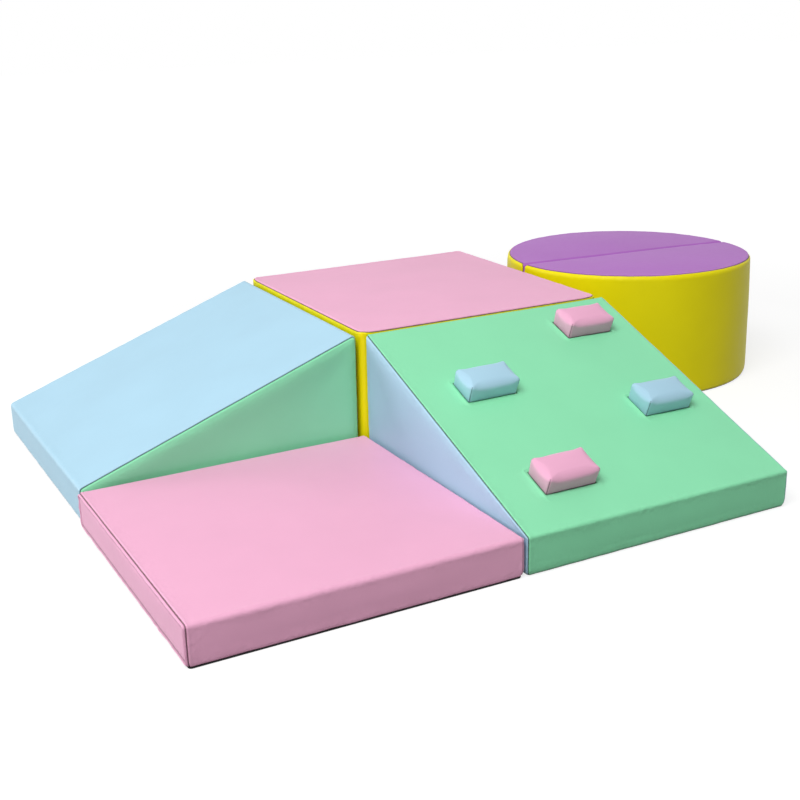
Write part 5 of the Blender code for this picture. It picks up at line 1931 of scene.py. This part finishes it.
def add_floor(scene):
    bm = bmesh.new()
    bmesh.ops.create_grid(bm, x_segments=FLOOR_CELLS, y_segments=FLOOR_CELLS, size=FLOOR_SIZE)
    paint = studio_floor("painted studio floor", scene.climber_stage.floor)
    floor = object_from("floor", bm, [paint], Matrix())
    floor.location.z = -FLOOR_DROP


class CLIMBER_OT_stage(bpy.types.Operator):
    """Sets up the camera, the lights and the floor."""

    bl_idname = "climber.stage"
    bl_label = "Stage"

    def execute(self, context):
        add_camera(context.scene)
        add_lights(context.scene)
        add_floor(context.scene)
        context.scene.view_settings.view_transform = "Standard"
        return {"FINISHED"}


class CLIMBER_OT_platform_block(bpy.types.Operator):
    """Makes the square platform block with its pink top and yellow sides."""

    bl_idname = "climber.platform_block"
    bl_label = "Platform block"

    def execute(self, context):
        make_platform(context.scene)
        return {"FINISHED"}


class CLIMBER_OT_slide_ramp(bpy.types.Operator):
    """Makes the slide ramp with its light blue wrap and mint green sides."""

    bl_idname = "climber.slide_ramp"
    bl_label = "Slide ramp"

    def execute(self, context):
        scene = context.scene
        blocks = scene.climber_blocks
        _, width, length = footprint("slide_ramp")
        form = BoxForm(width, length, blocks.slide_height, blocks.ramp_lip, blocks.ramp_crown)
        make_wrapped(scene, "slide_ramp", form, (blocks.slide_crest, blocks.slide_lip))
        return {"FINISHED"}


class CLIMBER_OT_climbing_ramp(bpy.types.Operator):
    """Makes the climbing ramp with its mint green wrap and light blue sides."""

    bl_idname = "climber.climbing_ramp"
    bl_label = "Climbing ramp"

    def execute(self, context):
        scene = context.scene
        blocks = scene.climber_blocks
        form = climbing_form(scene)
        radii = (blocks.climb_crest, blocks.climb_lip)
        make_wrapped(scene, "climbing_ramp", form, radii, hold_list(scene, form))
        return {"FINISHED"}


class CLIMBER_OT_holds(bpy.types.Operator):
    """Makes the four padded climbing holds."""

    bl_idname = "climber.holds"
    bl_label = "Climbing holds"

    def execute(self, context):
        scene = context.scene
        matrix = footprint("climbing_ramp")[0]
        names = ("upper_right", "upper_left", "lower_right", "lower_left")
        colours = ("pink", "light_blue", "light_blue", "pink")
        for hold, name, colour in zip(hold_list(scene, climbing_form(scene)), names, colours):
            make_hold(hold, f"hold_{name}", colour, matrix)
        return {"FINISHED"}


class CLIMBER_OT_corner_mat(bpy.types.Operator):
    """Makes the low pink mat in the corner between the ramps."""

    bl_idname = "climber.corner_mat"
    bl_label = "Corner mat"

    def execute(self, context):
        scene = context.scene
        blocks = scene.climber_blocks
        _, width, depth = footprint("corner_mat")
        form = BoxForm(width, depth, blocks.mat_height, blocks.mat_height, blocks.mat_crown)
        make_wrapped(scene, "corner_mat", form, (blocks.mat_fold, blocks.mat_fold))
        return {"FINISHED"}


class CLIMBER_OT_round_block(bpy.types.Operator):
    """Makes the two halves of the round block."""

    bl_idname = "climber.round_block"
    bl_label = "Round block"

    def execute(self, context):
        for half in ("back", "front"):
            make_half_round(context.scene, half)
        return {"FINISHED"}


class CLIMBER_OT_strips(bpy.types.Operator):
    """Makes the hook and loop strips that hold the blocks together."""

    bl_idname = "climber.strips"
    bl_label = "Hook and loop strips"

    def execute(self, context):
        halves = round_frames(context.scene)
        frames = {f"{half}_half_round": matrix for half, matrix in halves.items()}
        for body, kind, out in STRIPS:
            matrix = frames[body] if body in frames else footprint(body)[0]
            add_strip(f"{body}_{kind}_strip", body, kind.split("_")[-1], matrix, out)
        return {"FINISHED"}


OPERATORS = (
    CLIMBER_OT_stage,
    CLIMBER_OT_platform_block,
    CLIMBER_OT_slide_ramp,
    CLIMBER_OT_climbing_ramp,
    CLIMBER_OT_holds,
    CLIMBER_OT_corner_mat,
    CLIMBER_OT_round_block,
    CLIMBER_OT_strips,
)


class CLIMBER_PT_panel(bpy.types.Panel):
    """Lists the pieces of the climber and their settings."""

    bl_label = "Soft play climber"
    bl_idname = "CLIMBER_PT_panel"
    bl_space_type = "VIEW_3D"
    bl_region_type = "UI"
    bl_category = "Climber"

    def draw(self, context):
        for operator in OPERATORS:
            self.layout.operator(operator.bl_idname)
        for group in SETTINGS:
            box = self.layout.box()
            settings = getattr(context.scene, group)
            for name in settings.bl_rna.properties.keys():
                if name not in ("rna_type", "name"):
                    box.prop(settings, name)


SETTINGS = {
    "climber_covers": CoverSettings,
    "climber_blocks": BlockSettings,
    "climber_holds": HoldSettings,
    "climber_stage": StageSettings,
}


def register():
    for made in (*SETTINGS.values(), *OPERATORS, CLIMBER_PT_panel):
        bpy.utils.register_class(made)
    for name, group in SETTINGS.items():
        setattr(bpy.types.Scene, name, bpy.props.PointerProperty(type=group))


def unregister():
    for name in SETTINGS:
        delattr(bpy.types.Scene, name)
    for made in (CLIMBER_PT_panel, *reversed(OPERATORS), *reversed(SETTINGS.values())):
        bpy.utils.unregister_class(made)


def main():
    register()
    for operator in OPERATORS:
        group, name = operator.bl_idname.split(".")
        getattr(getattr(bpy.ops, group), name)()


if __name__ == "__main__":
    main()
